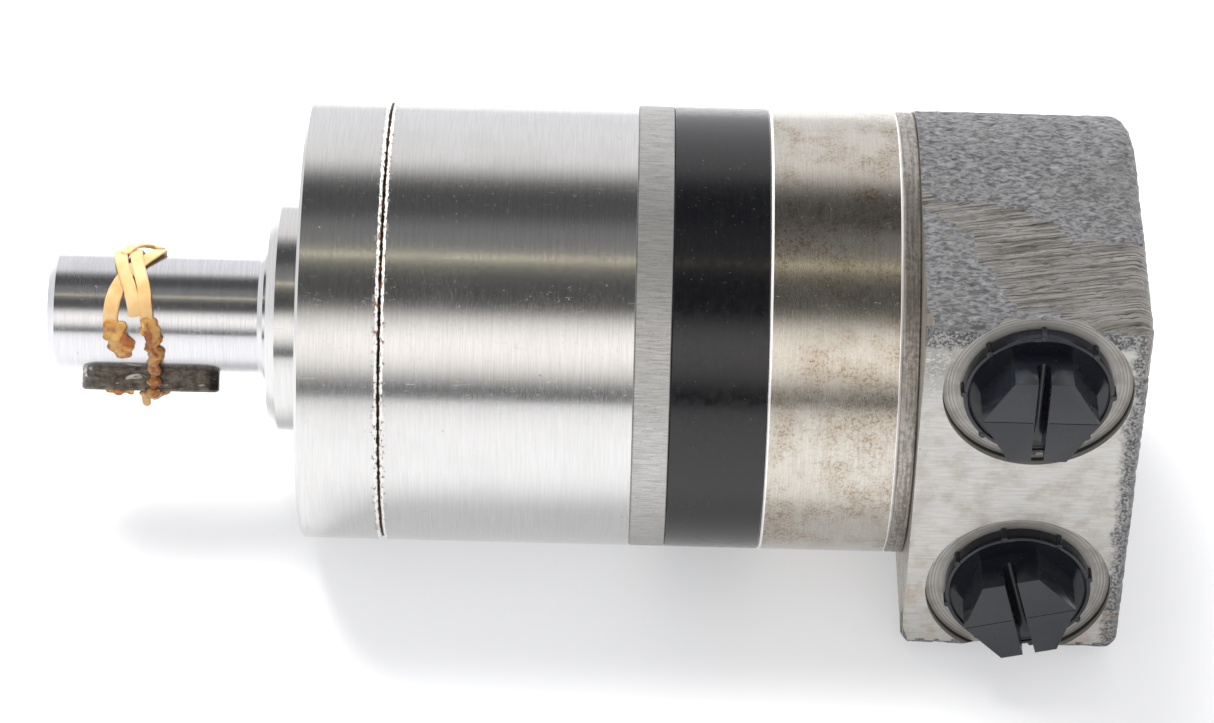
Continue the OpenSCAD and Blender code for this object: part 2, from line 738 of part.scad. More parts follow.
front_cover();
valve_housing();
spacer_plate();
gear_ring();
channel_plate();
port_housing();
output_shaft();
shaft_key();
key_band();
dust_seal();
shaft_seal();
seal_washer();
thrust_race_front();
thrust_needles();
thrust_race_rear();
bearing_shell();
bearing_needles();
star();
for (k = [1 : rollers])
    roller(k);
cardan_drive();
drive_ball();
for (k = [1 : len(joints_x)])
    o_ring(k - 1);
clamp_bolts();
cover_screws();
color("#17181c") at_port(1) plug(plug_a_turn);  // plug_a
color("#17181c") at_port(-1) plug(plug_b_turn);  // plug_b
color("#222222") at_port(1) plug_seal();  // plug_seal_a
color("#222222") at_port(-1) plug_seal();  // plug_seal_b
check_ball(1);  // check_ball_a
check_ball(-1);  // check_ball_b
check_spring(1);  // check_spring_a
check_spring(-1);  // check_spring_b
check_screws();
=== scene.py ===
"""Studio scene of a compact orbital hydraulic motor: frame, detailed pieces, materials, light."""
import json
import math

import bpy
import bmesh
from mathutils import Matrix, Vector, noise


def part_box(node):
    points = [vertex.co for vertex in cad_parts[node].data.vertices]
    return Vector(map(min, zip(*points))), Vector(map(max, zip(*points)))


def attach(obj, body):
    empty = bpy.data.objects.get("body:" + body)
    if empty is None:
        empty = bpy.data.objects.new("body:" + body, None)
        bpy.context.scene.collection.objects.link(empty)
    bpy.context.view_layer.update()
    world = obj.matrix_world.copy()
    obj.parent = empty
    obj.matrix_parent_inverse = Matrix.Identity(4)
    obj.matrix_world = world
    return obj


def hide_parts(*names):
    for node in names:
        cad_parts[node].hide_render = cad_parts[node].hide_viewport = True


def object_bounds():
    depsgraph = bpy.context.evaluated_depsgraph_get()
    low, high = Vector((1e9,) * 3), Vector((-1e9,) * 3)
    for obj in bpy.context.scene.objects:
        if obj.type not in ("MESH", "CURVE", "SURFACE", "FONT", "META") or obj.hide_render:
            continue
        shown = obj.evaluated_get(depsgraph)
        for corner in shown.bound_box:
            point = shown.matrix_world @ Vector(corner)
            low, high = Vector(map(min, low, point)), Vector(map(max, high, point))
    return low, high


MM = 0.001
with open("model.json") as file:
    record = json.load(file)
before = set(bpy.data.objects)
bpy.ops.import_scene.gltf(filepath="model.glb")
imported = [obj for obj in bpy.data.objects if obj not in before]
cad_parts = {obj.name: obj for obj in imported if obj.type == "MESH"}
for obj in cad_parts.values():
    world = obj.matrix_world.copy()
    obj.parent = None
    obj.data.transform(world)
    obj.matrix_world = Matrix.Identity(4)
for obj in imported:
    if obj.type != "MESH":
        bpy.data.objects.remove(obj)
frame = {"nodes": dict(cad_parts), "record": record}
cad_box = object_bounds()
nodes = frame["nodes"]
mounts = {m["name"]: m for m in frame["record"]["mounts"]}


def mm_box(node):
    """A node's lowest and highest corner, in millimetres."""
    lo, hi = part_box(node)
    return [v / MM for v in lo], [v / MM for v in hi]


# ---- Sizes from the frame, in millimetres -----------------------------------
housing_lo, housing_hi = mm_box("port_housing")
drum_lo, drum_hi = mm_box("valve_housing")
DRUM_X = drum_lo[0]
BODY_R = drum_hi[2]
CHANNEL_X = mm_box("channel_plate")[0][0]
HOUSING_X = housing_lo[0]
PORT_FACE = -housing_lo[1]
CAST_R = housing_hi[2]
REAR_X = housing_hi[0]
PORTS = {s: Vector(mounts["port_" + s]["pos_m"]) / MM for s in "ab"}

# ---- Sizes the frame doesn't give, in millimetres -----------------------------
COLLAR_L = 2.3                   # turned collar in front of the casting
CAST_FRONT = HOUSING_X + COLLAR_L
SHAFT_R = 15.875 / 2
KEY_W = 4.76
KEY_TOP = 10.6                   # the key's flat, from the axis
KEY_ANGLE = math.radians(-50)    # the key's middle, up from the -Y side
SPOT_R = 12.35                   # spot faces round the ports
SPOT_DEPTH = 1.35
THREAD_PITCH = 25.4 / 18         # 18 turns to the inch


# ---- Camera ------------------------------------------------------------------
CAMERA_ELEVATION = math.radians(40.33)
CAMERA_ROLL = math.radians(1.44)
CAMERA_DISTANCE = 612.2
CAMERA_X = 40.85                 # along the shaft
CAMERA_DROP = 5.03               # below the shaft axis, square to the view
LENS = 132.8


def add_camera():
    """Long lens, square to the shaft, looking down at the ports."""
    forward = Vector((0, math.cos(CAMERA_ELEVATION), -math.sin(CAMERA_ELEVATION)))
    level_up = Vector((0, math.sin(CAMERA_ELEVATION), math.cos(CAMERA_ELEVATION)))
    across = Vector((1, 0, 0))
    right = across * math.cos(CAMERA_ROLL) + level_up * math.sin(CAMERA_ROLL)
    up = level_up * math.cos(CAMERA_ROLL) - across * math.sin(CAMERA_ROLL)
    data = bpy.data.cameras.new("camera")
    data.lens = LENS
    data.sensor_width = 36
    data.clip_start = 0.01
    data.clip_end = 50
    cam = bpy.data.objects.new("camera", data)
    bpy.context.scene.collection.objects.link(cam)
    place = (Vector((CAMERA_X, 0, 0)) - level_up * CAMERA_DROP
             - forward * CAMERA_DISTANCE) * MM
    cam.matrix_world = Matrix.Translation(place) @ Matrix(
        (right, up, -forward)).transposed().to_4x4()
    bpy.context.scene.camera = cam


# ---- Node materials -----------------------------------------------------------
class Nodes:
    """Short calls for building a node tree."""

    def __init__(self, tree):
        self.tree = tree

    def node(self, kind, **props):
        n = self.tree.nodes.new(kind)
        for k, v in props.items():
            setattr(n, k, v)
        return n

    def link(self, value, socket):
        """Joins a socket to another one, or sets it to a plain value."""
        if isinstance(value, bpy.types.NodeSocket):
            self.tree.links.new(value, socket)
        else:
            socket.default_value = value

    def calc(self, op, a, b=0.0):
        n = self.node("ShaderNodeMath", operation=op)
        self.link(a, n.inputs[0])
        self.link(b, n.inputs[1])
        return n.outputs[0]

    def span(self, value, lo, hi, to_lo=0.0, to_hi=1.0):
        """Maps lo..hi to to_lo..to_hi, clamped and smooth."""
        n = self.node("ShaderNodeMapRange", interpolation_type="SMOOTHSTEP")
        self.link(value, n.inputs["Value"])
        for k, v in (("From Min", lo), ("From Max", hi), ("To Min", to_lo), ("To Max", to_hi)):
            self.link(v, n.inputs[k])
        return n.outputs[0]


class Mat(Nodes):
    """A Principled material; its texture space is in millimetres."""

    def __init__(self, name):
        self.mat = bpy.data.materials.new(name)
        self.mat.use_nodes = True
        super().__init__(self.mat.node_tree)
        self.bsdf = self.tree.nodes["Principled BSDF"]
        coord = self.tree.nodes.new("ShaderNodeTexCoord").outputs["Object"]
        self.p = self.vec("SCALE", coord, scale=1 / MM)

    def vec(self, op, a, b=None, scale=None):
        n = self.node("ShaderNodeVectorMath", operation=op)
        self.link(a, n.inputs[0])
        if b is not None:
            self.link(b, n.inputs[1])
        if scale is not None:
            n.inputs["Scale"].default_value = scale
        return n.outputs["Value"] if op == "LENGTH" else n.outputs[0]

    def axis(self, name):
        n = self.node("ShaderNodeSeparateXYZ")
        self.link(self.p, n.inputs[0])
        return n.outputs[name]

    def away(self, value, centre):
        """How far a value is from a centre."""
        return self.calc("ABSOLUTE", self.calc("SUBTRACT", value, centre))

    def weigh(self, a, weight_a, b, weight_b):
        """Weighted sum of two values."""
        return self.calc("ADD", self.calc("MULTIPLY", a, weight_a),
                         self.calc("MULTIPLY", b, weight_b))

    def stretch(self, x, y, z):
        return self.vec("MULTIPLY", self.p, (x, y, z))

    def noise(self, vector, scale=1.0, detail=3.0, rough=0.55, distort=0.0):
        n = self.node("ShaderNodeTexNoise")
        self.link(vector, n.inputs["Vector"])
        n.inputs["Scale"].default_value = scale
        n.inputs["Detail"].default_value = detail
        n.inputs["Roughness"].default_value = rough
        n.inputs["Distortion"].default_value = distort
        return n.outputs[0]

    def mix(self, factor, a, b):
        n = self.node("ShaderNodeMix", data_type="RGBA", clamp_factor=True)
        self.link(factor, n.inputs[0])
        for value, socket in ((a, n.inputs[6]), (b, n.inputs[7])):
            self.link((*value, 1.0) if isinstance(value, tuple) else value, socket)
        return n.outputs[2]

    def bump(self, height, strength, distance_mm):
        n = self.node("ShaderNodeBump")
        n.inputs["Strength"].default_value = strength
        n.inputs["Distance"].default_value = distance_mm * MM
        self.link(height, n.inputs["Height"])
        return n.outputs[0]

    def finish(self, color, rough, metallic=0.0, normal=None, **plain):
        self.link(color if not isinstance(color, tuple) else (*color, 1.0),
                  self.bsdf.inputs["Base Color"])
        self.link(rough, self.bsdf.inputs["Roughness"])
        self.link(metallic, self.bsdf.inputs["Metallic"])
        if normal is not None:
            self.link(normal, self.bsdf.inputs["Normal"])
        for k, v in plain.items():
            self.bsdf.inputs[k.replace("_", " ")].default_value = v
        return self.mat


RUST = (0.16, 0.065, 0.02)


def turned_steel(name, base, dark, rough, groove=None, stain=0.0, edges=()):
    """Steel turned about X: fine circles, faint blotches, a rusty groove, tea-coloured stain,
    painted highlights along chamfered edges.
    """
    m = Mat(name)
    circles = m.noise(m.stretch(9, 0.16, 0.16), detail=5, rough=0.7)
    fine = m.noise(m.stretch(30, 0.9, 0.9), detail=3, rough=0.7)
    blotch = m.noise(m.p, scale=0.09, detail=4, rough=0.6)
    color = m.mix(m.span(circles, 0.3, 0.75), base, dark)
    color = m.mix(m.span(blotch, 0.5, 0.75, 0.0, 0.5), color, dark)
    roughness = m.calc("ADD", m.span(fine, 0.35, 0.7, rough - 0.05, rough + 0.07),
                       m.span(blotch, 0.45, 0.75, 0.0, 0.04))
    rust = m.calc("MULTIPLY", m.span(m.noise(m.p, scale=0.8, detail=2), 0.74, 0.78),
                  m.span(m.noise(m.p, scale=4, detail=2), 0.4, 0.6, 0.0, 0.7))
    if stain:
        tea = m.span(m.noise(m.p, scale=0.16, detail=5, rough=0.65), 0.42, 0.64, 0.18, stain)
        speck = m.span(m.noise(m.p, scale=2.4, detail=4, rough=0.75), 0.46, 0.62)
        color = m.mix(m.calc("MULTIPLY", tea, m.calc("ADD", 0.35, m.calc("MULTIPLY", speck, 0.65))),
                      color, (0.26, 0.19, 0.115))
        dots = m.span(m.noise(m.p, scale=2.1, detail=3), 0.70, 0.76, 0.0, 0.8)
        rust = m.calc("MAXIMUM", rust, m.calc("MULTIPLY", dots, m.span(tea, 0.2, 0.6)))
    painted_highlight = 0.0
    if groove is not None:
        off = m.away(m.axis("X"), groove)
        wobble = m.span(m.noise(m.p, scale=1.6, detail=3), 0.3, 0.7, -0.09, 0.09)
        off = m.calc("ADD", off, wobble)
        patch = m.span(m.noise(m.p, scale=1.4, detail=4, rough=0.7), 0.55, 0.60)
        rust = m.calc("MAXIMUM", rust, m.calc("MULTIPLY", m.span(off, 0.5, 1.1, 0.9, 0.0), patch))
        seam = m.span(off, 0.16, 0.24, 1.0, 0.0)
        # bright bands either side of the seam, along the groove's chamfered edges: painted
        # highlight
        painted_highlight = m.calc("MULTIPLY", m.span(off, 0.16, 0.24), m.span(off, 0.52, 0.60, 1.0, 0.0))
        color = m.mix(seam, color, (0.06, 0.045, 0.03))
        roughness = m.calc("ADD", roughness, m.calc("MULTIPLY", seam, 0.35))
    # white lines at the chamfered end edges: painted highlight
    for edge in edges:
        off = m.away(m.axis("X"), edge)
        painted_highlight = m.calc("MAXIMUM", m.span(off, 0.16, 0.24, 0.85, 0.0), painted_highlight)
    # white where the chamfers would catch the light: painted highlight, also made less metallic
    # below
    color = m.mix(painted_highlight, color, (0.93, 0.925, 0.91))
    color = m.mix(rust, color, RUST)
    roughness = m.calc("ADD", roughness, m.calc("MULTIPLY", rust, 0.35))
    scratch = m.span(m.noise(m.stretch(0.5, 6, 6), detail=2, distort=0.6), 0.70, 0.74)
    nick = m.span(m.noise(m.stretch(1.2, 0.5, 2.4), detail=1, distort=1.5), 0.735, 0.755)
    height = m.weigh(circles, 0.6, fine, 0.5)
    height = m.calc("SUBTRACT", height, m.calc("MULTIPLY", scratch, 0.5))
    height = m.calc("SUBTRACT", height, m.calc("MULTIPLY", nick, 1.4))
    dull = m.calc("MAXIMUM", m.calc("MULTIPLY", rust, 0.7), m.calc("MULTIPLY", painted_highlight, 0.8))
    return m.finish(color, roughness, m.calc("SUBTRACT", 1.0, dull), m.bump(height, 0.4, 0.012))


def ground_plate_steel(name):
    """Matt ground steel with scratches along X."""
    m = Mat(name)
    along = m.noise(m.stretch(0.35, 7, 7), detail=5, rough=0.7)
    grain = m.noise(m.p, scale=3.2, detail=4, rough=0.65)
    color = m.mix(m.span(along, 0.35, 0.7), (0.53, 0.525, 0.515), (0.33, 0.32, 0.31))
    color = m.mix(m.span(grain, 0.58, 0.72, 0.0, 0.6), color, (0.25, 0.22, 0.19))
    height = m.weigh(along, 0.7, grain, 0.3)
    return m.finish(color, m.span(grain, 0.3, 0.7, 0.42, 0.58), 0.9, m.bump(height, 0.5, 0.02))


def gloss_black(name):
    """Gloss black enamel with dust and fine rubs."""
    m = Mat(name)
    dust = m.span(m.noise(m.p, scale=2.2, detail=3, rough=0.7), 0.66, 0.76)
    rub = m.span(m.noise(m.stretch(6, 0.3, 0.3), detail=4), 0.45, 0.75, 0.0, 0.10)
    color = m.mix(m.calc("MULTIPLY", dust, 0.5), (0.0032, 0.0034, 0.0045), (0.20, 0.19, 0.185))
    color = m.mix(rub, color, (0.03, 0.03, 0.034))
    peel = m.noise(m.p, scale=0.9, detail=3)
    return m.finish(color, m.span(peel, 0.3, 0.7, 0.13, 0.24), 0.0,
                    m.bump(peel, 0.12, 0.03), IOR=1.5)


def cast_iron(name):
    """Raw sand casting: lumps and pits drawn out along X; the colour is darker in the hollows as
    painted shade and lighter on the peaks as painted highlight.
    """
    m = Mat(name)
    along = m.stretch(0.5, 1, 1)
    lumps = m.noise(along, scale=1.7, detail=4, rough=0.6, distort=0.6)
    grain = m.noise(along, scale=3.4, detail=5, rough=0.7)
    fine = m.noise(m.p, scale=4.5, detail=3)
    wide = m.noise(m.p, scale=0.11, detail=3)
    both = m.weigh(lumps, 0.6, grain, 0.4)
    # colour follows the relief's height: painted shade in the hollows, painted highlight on the
    # peaks
    color = m.mix(m.span(both, 0.40, 0.56), (0.105, 0.105, 0.108), (0.25, 0.25, 0.257))
    color = m.mix(m.span(both, 0.56, 0.66, 0.0, 0.8), color, (0.38, 0.38, 0.39))
    color = m.mix(m.span(fine, 0.55, 0.75, 0.0, 0.45), color, (0.12, 0.118, 0.115))
    color = m.mix(m.span(wide, 0.5, 0.75, 0.0, 0.3), color, (0.20, 0.19, 0.18))
    height = m.calc("ADD", both, m.calc("MULTIPLY", fine, 0.15))
    return m.finish(color, m.span(both, 0.4, 0.65, 0.55, 0.34), 0.55, m.bump(height, 1.0, 0.55))


def ground_patch(name):
    """Casting dressed with a grinding disc: dark and bright scratches near the X axis."""
    m = Mat(name)
    across = m.calc("SUBTRACT", m.axis("Y"), m.calc("MULTIPLY", m.axis("X"), GRIND_SLOPE))
    comb = m.node("ShaderNodeCombineXYZ")
    m.link(m.calc("MULTIPLY", m.axis("X"), 0.10), comb.inputs[0])
    m.link(m.calc("MULTIPLY", across, 2.6), comb.inputs[1])
    streak = m.noise(comb.outputs[0], detail=6, rough=0.75)
    grain = m.noise(m.stretch(0.6, 1, 1), scale=1.8, detail=5, rough=0.7)
    color = m.mix(m.span(streak, 0.38, 0.58), (0.07, 0.061, 0.052), (0.31, 0.297, 0.28))
    color = m.mix(m.span(streak, 0.6, 0.72), color, (0.60, 0.59, 0.57))
    color = m.mix(m.span(grain, 0.55, 0.66, 0.0, 0.75), color, (0.13, 0.128, 0.13))
    height = m.weigh(streak, 0.8, grain, 0.2)
    return m.finish(color, m.span(streak, 0.35, 0.65, 0.5, 0.34), 0.75,
                    m.bump(height, 0.9, 0.16))


def milled_face(name):
    """Milled port face: satin, faint feed lines, mottled stains and a little rust."""
    m = Mat(name)
    feed = m.noise(m.stretch(0.3, 1, 5), detail=3)
    mottle = m.noise(m.p, scale=0.35, detail=5, rough=0.65)
    pits = m.noise(m.p, scale=2.6, detail=4, rough=0.7)
    x, z = m.axis("X"), m.axis("Z")
    color = m.mix(m.span(feed, 0.3, 0.7), (0.50, 0.49, 0.47), (0.42, 0.405, 0.385))
    color = m.mix(m.span(mottle, 0.45, 0.68, 0.0, 0.45), color, (0.34, 0.30, 0.245))
    # the top front corner is only just cleaned up, so it is still pitted
    corner = m.calc("MULTIPLY", m.span(x, CAST_FRONT + 1, CAST_FRONT + 9, 1, 0),
                    m.span(z, 12, 22))
    ragged = m.noise(m.p, scale=0.45, detail=5, rough=0.7)
    upper = m.span(m.calc("ADD", z, m.calc("MULTIPLY", ragged, 7.0)), 27.4, 29.0)
    rear = m.span(m.calc("ADD", x, m.calc("MULTIPLY", ragged, 5.0)), REAR_X - 0.4, REAR_X + 1.0)
    pitted = m.calc("MULTIPLY", corner, m.span(pits, 0.4, 0.6))
    pitted = m.calc("MAXIMUM", pitted, m.calc("MAXIMUM", upper, rear))
    color = m.mix(pitted, color, m.mix(m.span(pits, 0.42, 0.6), (0.10, 0.10, 0.10),
                                       (0.36, 0.355, 0.35)))
    stain = m.calc("MULTIPLY", m.span(z, -8, -20), m.span(mottle, 0.45, 0.68, 0.0, 0.45))
    color = m.mix(stain, color, (0.40, 0.31, 0.22))
    dots = m.span(m.noise(m.p, scale=0.9, detail=4), 0.70, 0.76)
    color = m.mix(m.calc("MULTIPLY", dots, 0.5), color, RUST)
    height = m.calc("ADD", m.calc("MULTIPLY", feed, 0.5),
                    m.calc("MULTIPLY", pits, m.span(pitted, 0.0, 1.0, 0.5, 5.0)))
    rough = m.calc("ADD", m.span(mottle, 0.3, 0.7, 0.34, 0.46), m.calc("MULTIPLY", pitted, 0.2))
    return m.finish(color, rough, 0.85, m.bump(height, 0.3, 0.02))


def spot_face(name, port):
    """Bottom of a spot face: turning rings about the port, stained."""
    m = Mat(name)
    off = m.vec("SUBTRACT", m.p, tuple(port))
    flat = m.vec("MULTIPLY", off, (1, 0, 1))
    radius = m.vec("LENGTH", flat)
    comb = m.node("ShaderNodeCombineXYZ")
    m.link(m.calc("MULTIPLY", radius, 5.0), comb.inputs[0])
    rings = m.noise(comb.outputs[0], detail=4, rough=0.7)
    mottle = m.noise(m.p, scale=0.5, detail=5, rough=0.6)
    color = m.mix(m.span(rings, 0.4, 0.6), (0.46, 0.445, 0.42), (0.27, 0.255, 0.235))
    color = m.mix(m.span(mottle, 0.45, 0.7, 0.0, 0.4), color, (0.26, 0.23, 0.20))
    # the wall keeps a plain steel tone at the mouth and is painted dark where it meets the floor:
    # painted shade in the corner of the recess
    wall = m.span(radius, SPOT_R - 0.12, SPOT_R - 0.03)
    recess_shade = m.span(m.axis("Y"), port.y + 0.6, port.y + 0.9)
    color = m.mix(wall, color, m.mix(recess_shade, (0.42, 0.41, 0.39), (0.06, 0.052, 0.042)))
    return m.finish(color, m.span(mottle, 0.3, 0.7, 0.46, 0.58), 0.6,
                    m.bump(rings, 0.7, 0.03))


def coarse_turned(name, base, dark, grain_scale):
    """Coarsely turned collar: broken rings with torn grain."""
    m = Mat(name)
    rings = m.noise(m.stretch(3.2, 0.12, 0.12), detail=3)
    torn = m.noise(m.stretch(1.4, 1, 1), scale=grain_scale, detail=5, rough=0.75)
    both = m.weigh(rings, 0.5, torn, 0.5)
    color = m.mix(m.span(both, 0.4, 0.6), dark, base)
    return m.finish(color, m.span(torn, 0.3, 0.7, 0.5, 0.3), 0.9, m.bump(both, 0.7, 0.05))


def moulded_plastic(name):
    """Gloss black moulded plastic, slightly blue, with flow marks and scuffs."""
    m = Mat(name)
    flow = m.noise(m.p, scale=0.5, detail=3, distort=0.8)
    dust = m.span(m.noise(m.p, scale=4.5, detail=2), 0.70, 0.78)
    scuff = m.span(m.noise(m.stretch(1, 1, 5), scale=1.2, detail=3), 0.68, 0.76)
    color = m.mix(m.calc("MULTIPLY", dust, 0.35), (0.0075, 0.0088, 0.0135), (0.25, 0.25, 0.26))
    color = m.mix(m.calc("MULTIPLY", scuff, 0.15), color, (0.2, 0.2, 0.21))
    return m.finish(color, m.span(flow, 0.3, 0.7, 0.16, 0.28), 0.0,
                    m.bump(flow, 0.15, 0.05), IOR=1.5)


def key_steel(name):
    """Dark key wet with old oil: rolled flats, brown film, bright worn spots."""
    m = Mat(name)
    scale = m.noise(m.p, scale=0.9, detail=6, rough=0.7)
    film = m.noise(m.stretch(0.35, 1, 1), scale=0.8, detail=4, distort=0.8)
    color = m.mix(m.span(scale, 0.35, 0.65), (0.058, 0.049, 0.040), (0.155, 0.136, 0.115))
    color = m.mix(m.span(film, 0.60, 0.66), color, (0.50, 0.48, 0.45))
    return m.finish(color, m.span(film, 0.35, 0.65, 0.12, 0.34), 0.85, m.bump(film, 0.6, 0.12))


def latex(name):
    """Tan rubber band: waxy, lets light in, faint stretch lines."""
    m = Mat(name)
    lines = m.noise(m.stretch(5, 0.8, 0.8), detail=3)
    tone = m.noise(m.p, scale=0.4, detail=2)
    color = m.mix(m.span(tone, 0.3, 0.7), (0.70, 0.44, 0.18), (0.80, 0.58, 0.31))
    m.bsdf.subsurface_method = "RANDOM_WALK"
    return m.finish(color, m.span(lines, 0.3, 0.7, 0.32, 0.48), 0.0, m.bump(lines, 0.3, 0.03),
                    Subsurface_Weight=0.6, Subsurface_Radius=(0.0016, 0.0009, 0.0004),
                    Transmission_Weight=0.15)


def grease(name):
    """Amber grease, wet and see-through, redder in patches."""
    m = Mat(name)
    swirl = m.noise(m.p, scale=0.55, detail=3, distort=1.0)
    color = m.mix(m.span(swirl, 0.4, 0.6), (0.52, 0.15, 0.03), (0.78, 0.46, 0.13))
    return m.finish(color, m.span(swirl, 0.3, 0.7, 0.05, 0.15), 0.0, m.bump(swirl, 0.4, 0.12),
                    Transmission_Weight=0.6, IOR=1.45)


def plain_metal(name, base, rough, metallic=1.0):
    """Small metal parts: a light grain over one tone."""
    m = Mat(name)
    grain = m.noise(m.p, scale=1.4, detail=5, rough=0.65)
    dark = tuple(c * 0.72 for c in base)
    return m.finish(m.mix(m.span(grain, 0.35, 0.65), base, dark),
                    m.span(grain, 0.3, 0.7, rough - 0.05, rough + 0.08), metallic,
                    m.bump(grain, 0.2, 0.01))


def seal_rubber(name):
    """Matt black rubber with a grey bloom."""
    m = Mat(name)
    bloom = m.noise(m.p, scale=0.8, detail=4)
    return m.finish(m.mix(m.span(bloom, 0.4, 0.7), (0.018, 0.018, 0.02), (0.05, 0.05, 0.05)),
                    m.span(bloom, 0.3, 0.7, 0.45, 0.65), 0.0, m.bump(bloom, 0.2, 0.03))


# ---- Mesh helpers -----------------------------------------------------------
def new_object(name, bm, materials, body, smooth_angle=35):
    """Turns a bmesh in millimetres into a piece that rides on a body."""
    bm.normal_update()
    mesh = bpy.data.meshes.new(name)
    bm.to_mesh(mesh)
    bm.free()
    mesh.transform(Matrix.Scale(MM, 4))
    for mat in materials:
        mesh.materials.append(mat)
    mesh.shade_smooth()
    mesh.set_sharp_from_angle(angle=math.radians(smooth_angle))
    obj = bpy.data.objects.new(name, mesh)
    bpy.context.scene.collection.objects.link(obj)
    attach(obj, body)
    return obj


def lathe(bm, profile, axis_map, segments=96, slot=0):
    """Closed solid of revolution; the profile is (along, radius) from end to end."""
    rings = []
    for along, radius in profile:
        if radius == 0:
            rings.append([bm.verts.new(axis_map(along, 0, 0))])
        else:
            rings.append([bm.verts.new(axis_map(along, radius * math.cos(a), radius * math.sin(a)))
                          for a in (2 * math.pi * i / segments for i in range(segments))])
    for one, two in zip(rings, rings[1:]):
        for i in range(segments):
            j = (i + 1) % segments
            if len(one) == 1 and len(two) == 1:
                continue
            if len(one) == 1:
                face = (one[0], two[j], two[i])
            elif len(two) == 1:
                face = (one[i], one[j], two[0])
            else:
                face = (one[i], one[j], two[j], two[i])
            bm.faces.new(face).material_index = slot


def on_x(along, u, v):
    """Lathe axis along X."""
    return (along, u, v)


def port_map(port):
    """Maps (out of the port, across X, across Z) to the motor's frame."""
    return lambda out, u, v: (port.x + u, port.y - out, port.z + v)


def modify(obj, kind, **props):
    """Adds a modifier with the given settings."""
    mod = obj.modifiers.new(kind.lower(), kind)
    for k, v in props.items():
        setattr(mod, k, v)


def apply_modifiers(obj):
    """Bakes a piece's modifiers into its mesh."""
    graph = bpy.context.evaluated_depsgraph_get()
    mesh = bpy.data.meshes.new_from_object(obj.evaluated_get(graph))
    obj.modifiers.clear()
    obj.data = mesh


def cut(obj, cutter_bm, materials):
    """Takes a cutter, a bmesh in millimetres, out of a piece and removes it."""
    mesh = bpy.data.meshes.new("cutter")
    bmesh.ops.recalc_face_normals(cutter_bm, faces=cutter_bm.faces)
    cutter_bm.to_mesh(mesh)
    cutter_bm.free()
    mesh.transform(Matrix.Scale(MM, 4))
    for mat in materials:
        mesh.materials.append(mat)
    tool = bpy.data.objects.new("cutter", mesh)
    bpy.context.scene.collection.objects.link(tool)
    modify(obj, "BOOLEAN", operation="DIFFERENCE", object=tool, solver="MANIFOLD")
    bpy.context.view_layer.update()
    apply_modifiers(obj)
    bpy.data.objects.remove(tool)


# ---- Port housing ------------------------------------------------------------
CAST_HALF_W = 28.6
CAST_CORNER_R = 2.4
MILLED_OFF = 0.35                # the face was milled this far below the casting
CONE_R = 41                      # outside it, the front corners are turned back
CONE_SLOPE = 0.62
UNDER_COLLAR = 1                 # the front face starts this far inside the collar
REAR_DIP = 0.12                  # the rear skin lies this far inside the box
REAR_ROUND = 2.6
FACE_ROUND = 1.6
# Where the upper side was dressed: back from the casting's front, behind the port face
DRESSED_TOP = [(0, 24.9), (13.2, 22.4), (18.4, 18.3), (19.4, 16.2), (29, 16.9)]
DRESSED_LOW = [(0, 22.2), (4.5, 18.0), (6.4, 16.9), (6.8, 11.8), (8.8, 10.2), (9.8, 5.2),
               (12.4, 2.2), (29, -1)]
GRIND_SLOPE = 0.19               # the grinder's scratches climb this much along X
OUTLINE_STEP = 0.36
RING_STEP = 0.36
EDGE_RINGS = 8                   # round the rear edge
REAR_RINGS = 26                  # across the rear face


def cast_outline():
    """Points (y, z) round the casting: port face, side, round back, side."""
    face_y = -(PORT_FACE + MILLED_OFF)
    side_angle = math.atan2(CAST_R - CAST_HALF_W, PORT_FACE)
    points = []

    def line(a, b):
        n = max(1, round(math.dist(a, b) / OUTLINE_STEP))
        points.extend((a[0] + (b[0] - a[0]) * i / n, a[1] + (b[1] - a[1]) * i / n)
                      for i in range(n))

    def arc(centre, radius, start, end):
        n = max(4, round(abs(end - start) * radius / OUTLINE_STEP))
        points.extend((centre[0] + radius * math.cos(start + (end - start) * i / n),
                       centre[1] + radius * math.sin(start + (end - start) * i / n))
                      for i in range(n))

    corner = (face_y + CAST_CORNER_R, CAST_HALF_W - CAST_CORNER_R)
    up = math.pi / 2 + side_angle
    side_end = (corner[0] + CAST_CORNER_R * math.cos(up), corner[1] + CAST_CORNER_R * math.sin(up))
    line((face_y, -corner[1]), (face_y, corner[1]))
    arc(corner, CAST_CORNER_R, math.pi, up)
    line(side_end, (0, CAST_R))
    arc((0, 0), CAST_R, math.pi / 2, -math.pi / 2)
    line((0, -CAST_R), (side_end[0], -side_end[1]))
    arc((corner[0], -corner[1]), CAST_CORNER_R, -up, -math.pi)
    return points


def cone_x(y, z):
    """How far back the turned cone lies at a point of the front face."""
    return CAST_FRONT + max(0.0, math.hypot(y, z) - CONE_R) * CONE_SLOPE


def sand(p):
    """Height of the as-cast skin over its nominal surface."""
    drawn = Vector((p.x * 0.55, p.y, p.z))
    wide = noise.noise(p * 0.10) * 0.10
    lumps = noise.fractal(drawn * 0.95, 0.8, 2.1, 3) * 0.12
    pits = max(0.0, noise.noise(drawn * 1.3 + Vector((7, 3, 1))) - 0.16) * -0.55
    return wide + lumps + pits


def ramp_between(stops, x):
    """Straight lines through (x, value) stops."""
    for (x0, v0), (x1, v1) in zip(stops, stops[1:]):
        if x <= x1:
            return v0 + (v1 - v0) * max(0.0, (x - x0) / (x1 - x0))
    return stops[-1][1]


def dressed(p):
    """0 to 1: how far the upper side was dressed with a grinder at a point."""
    if p.z < 20 or p.y > -3:
        return 0.0
    back = p.x - CAST_FRONT
    above = p.y + PORT_FACE
    edge = noise.noise(Vector((p.x * 0.25, p.y * 0.9, 4))) * 1.6
    inside = min(ramp_between(DRESSED_TOP, back) - above, above - ramp_between(DRESSED_LOW, back))
    return max(0.0, min(1.0, (inside + edge) / 0.8))


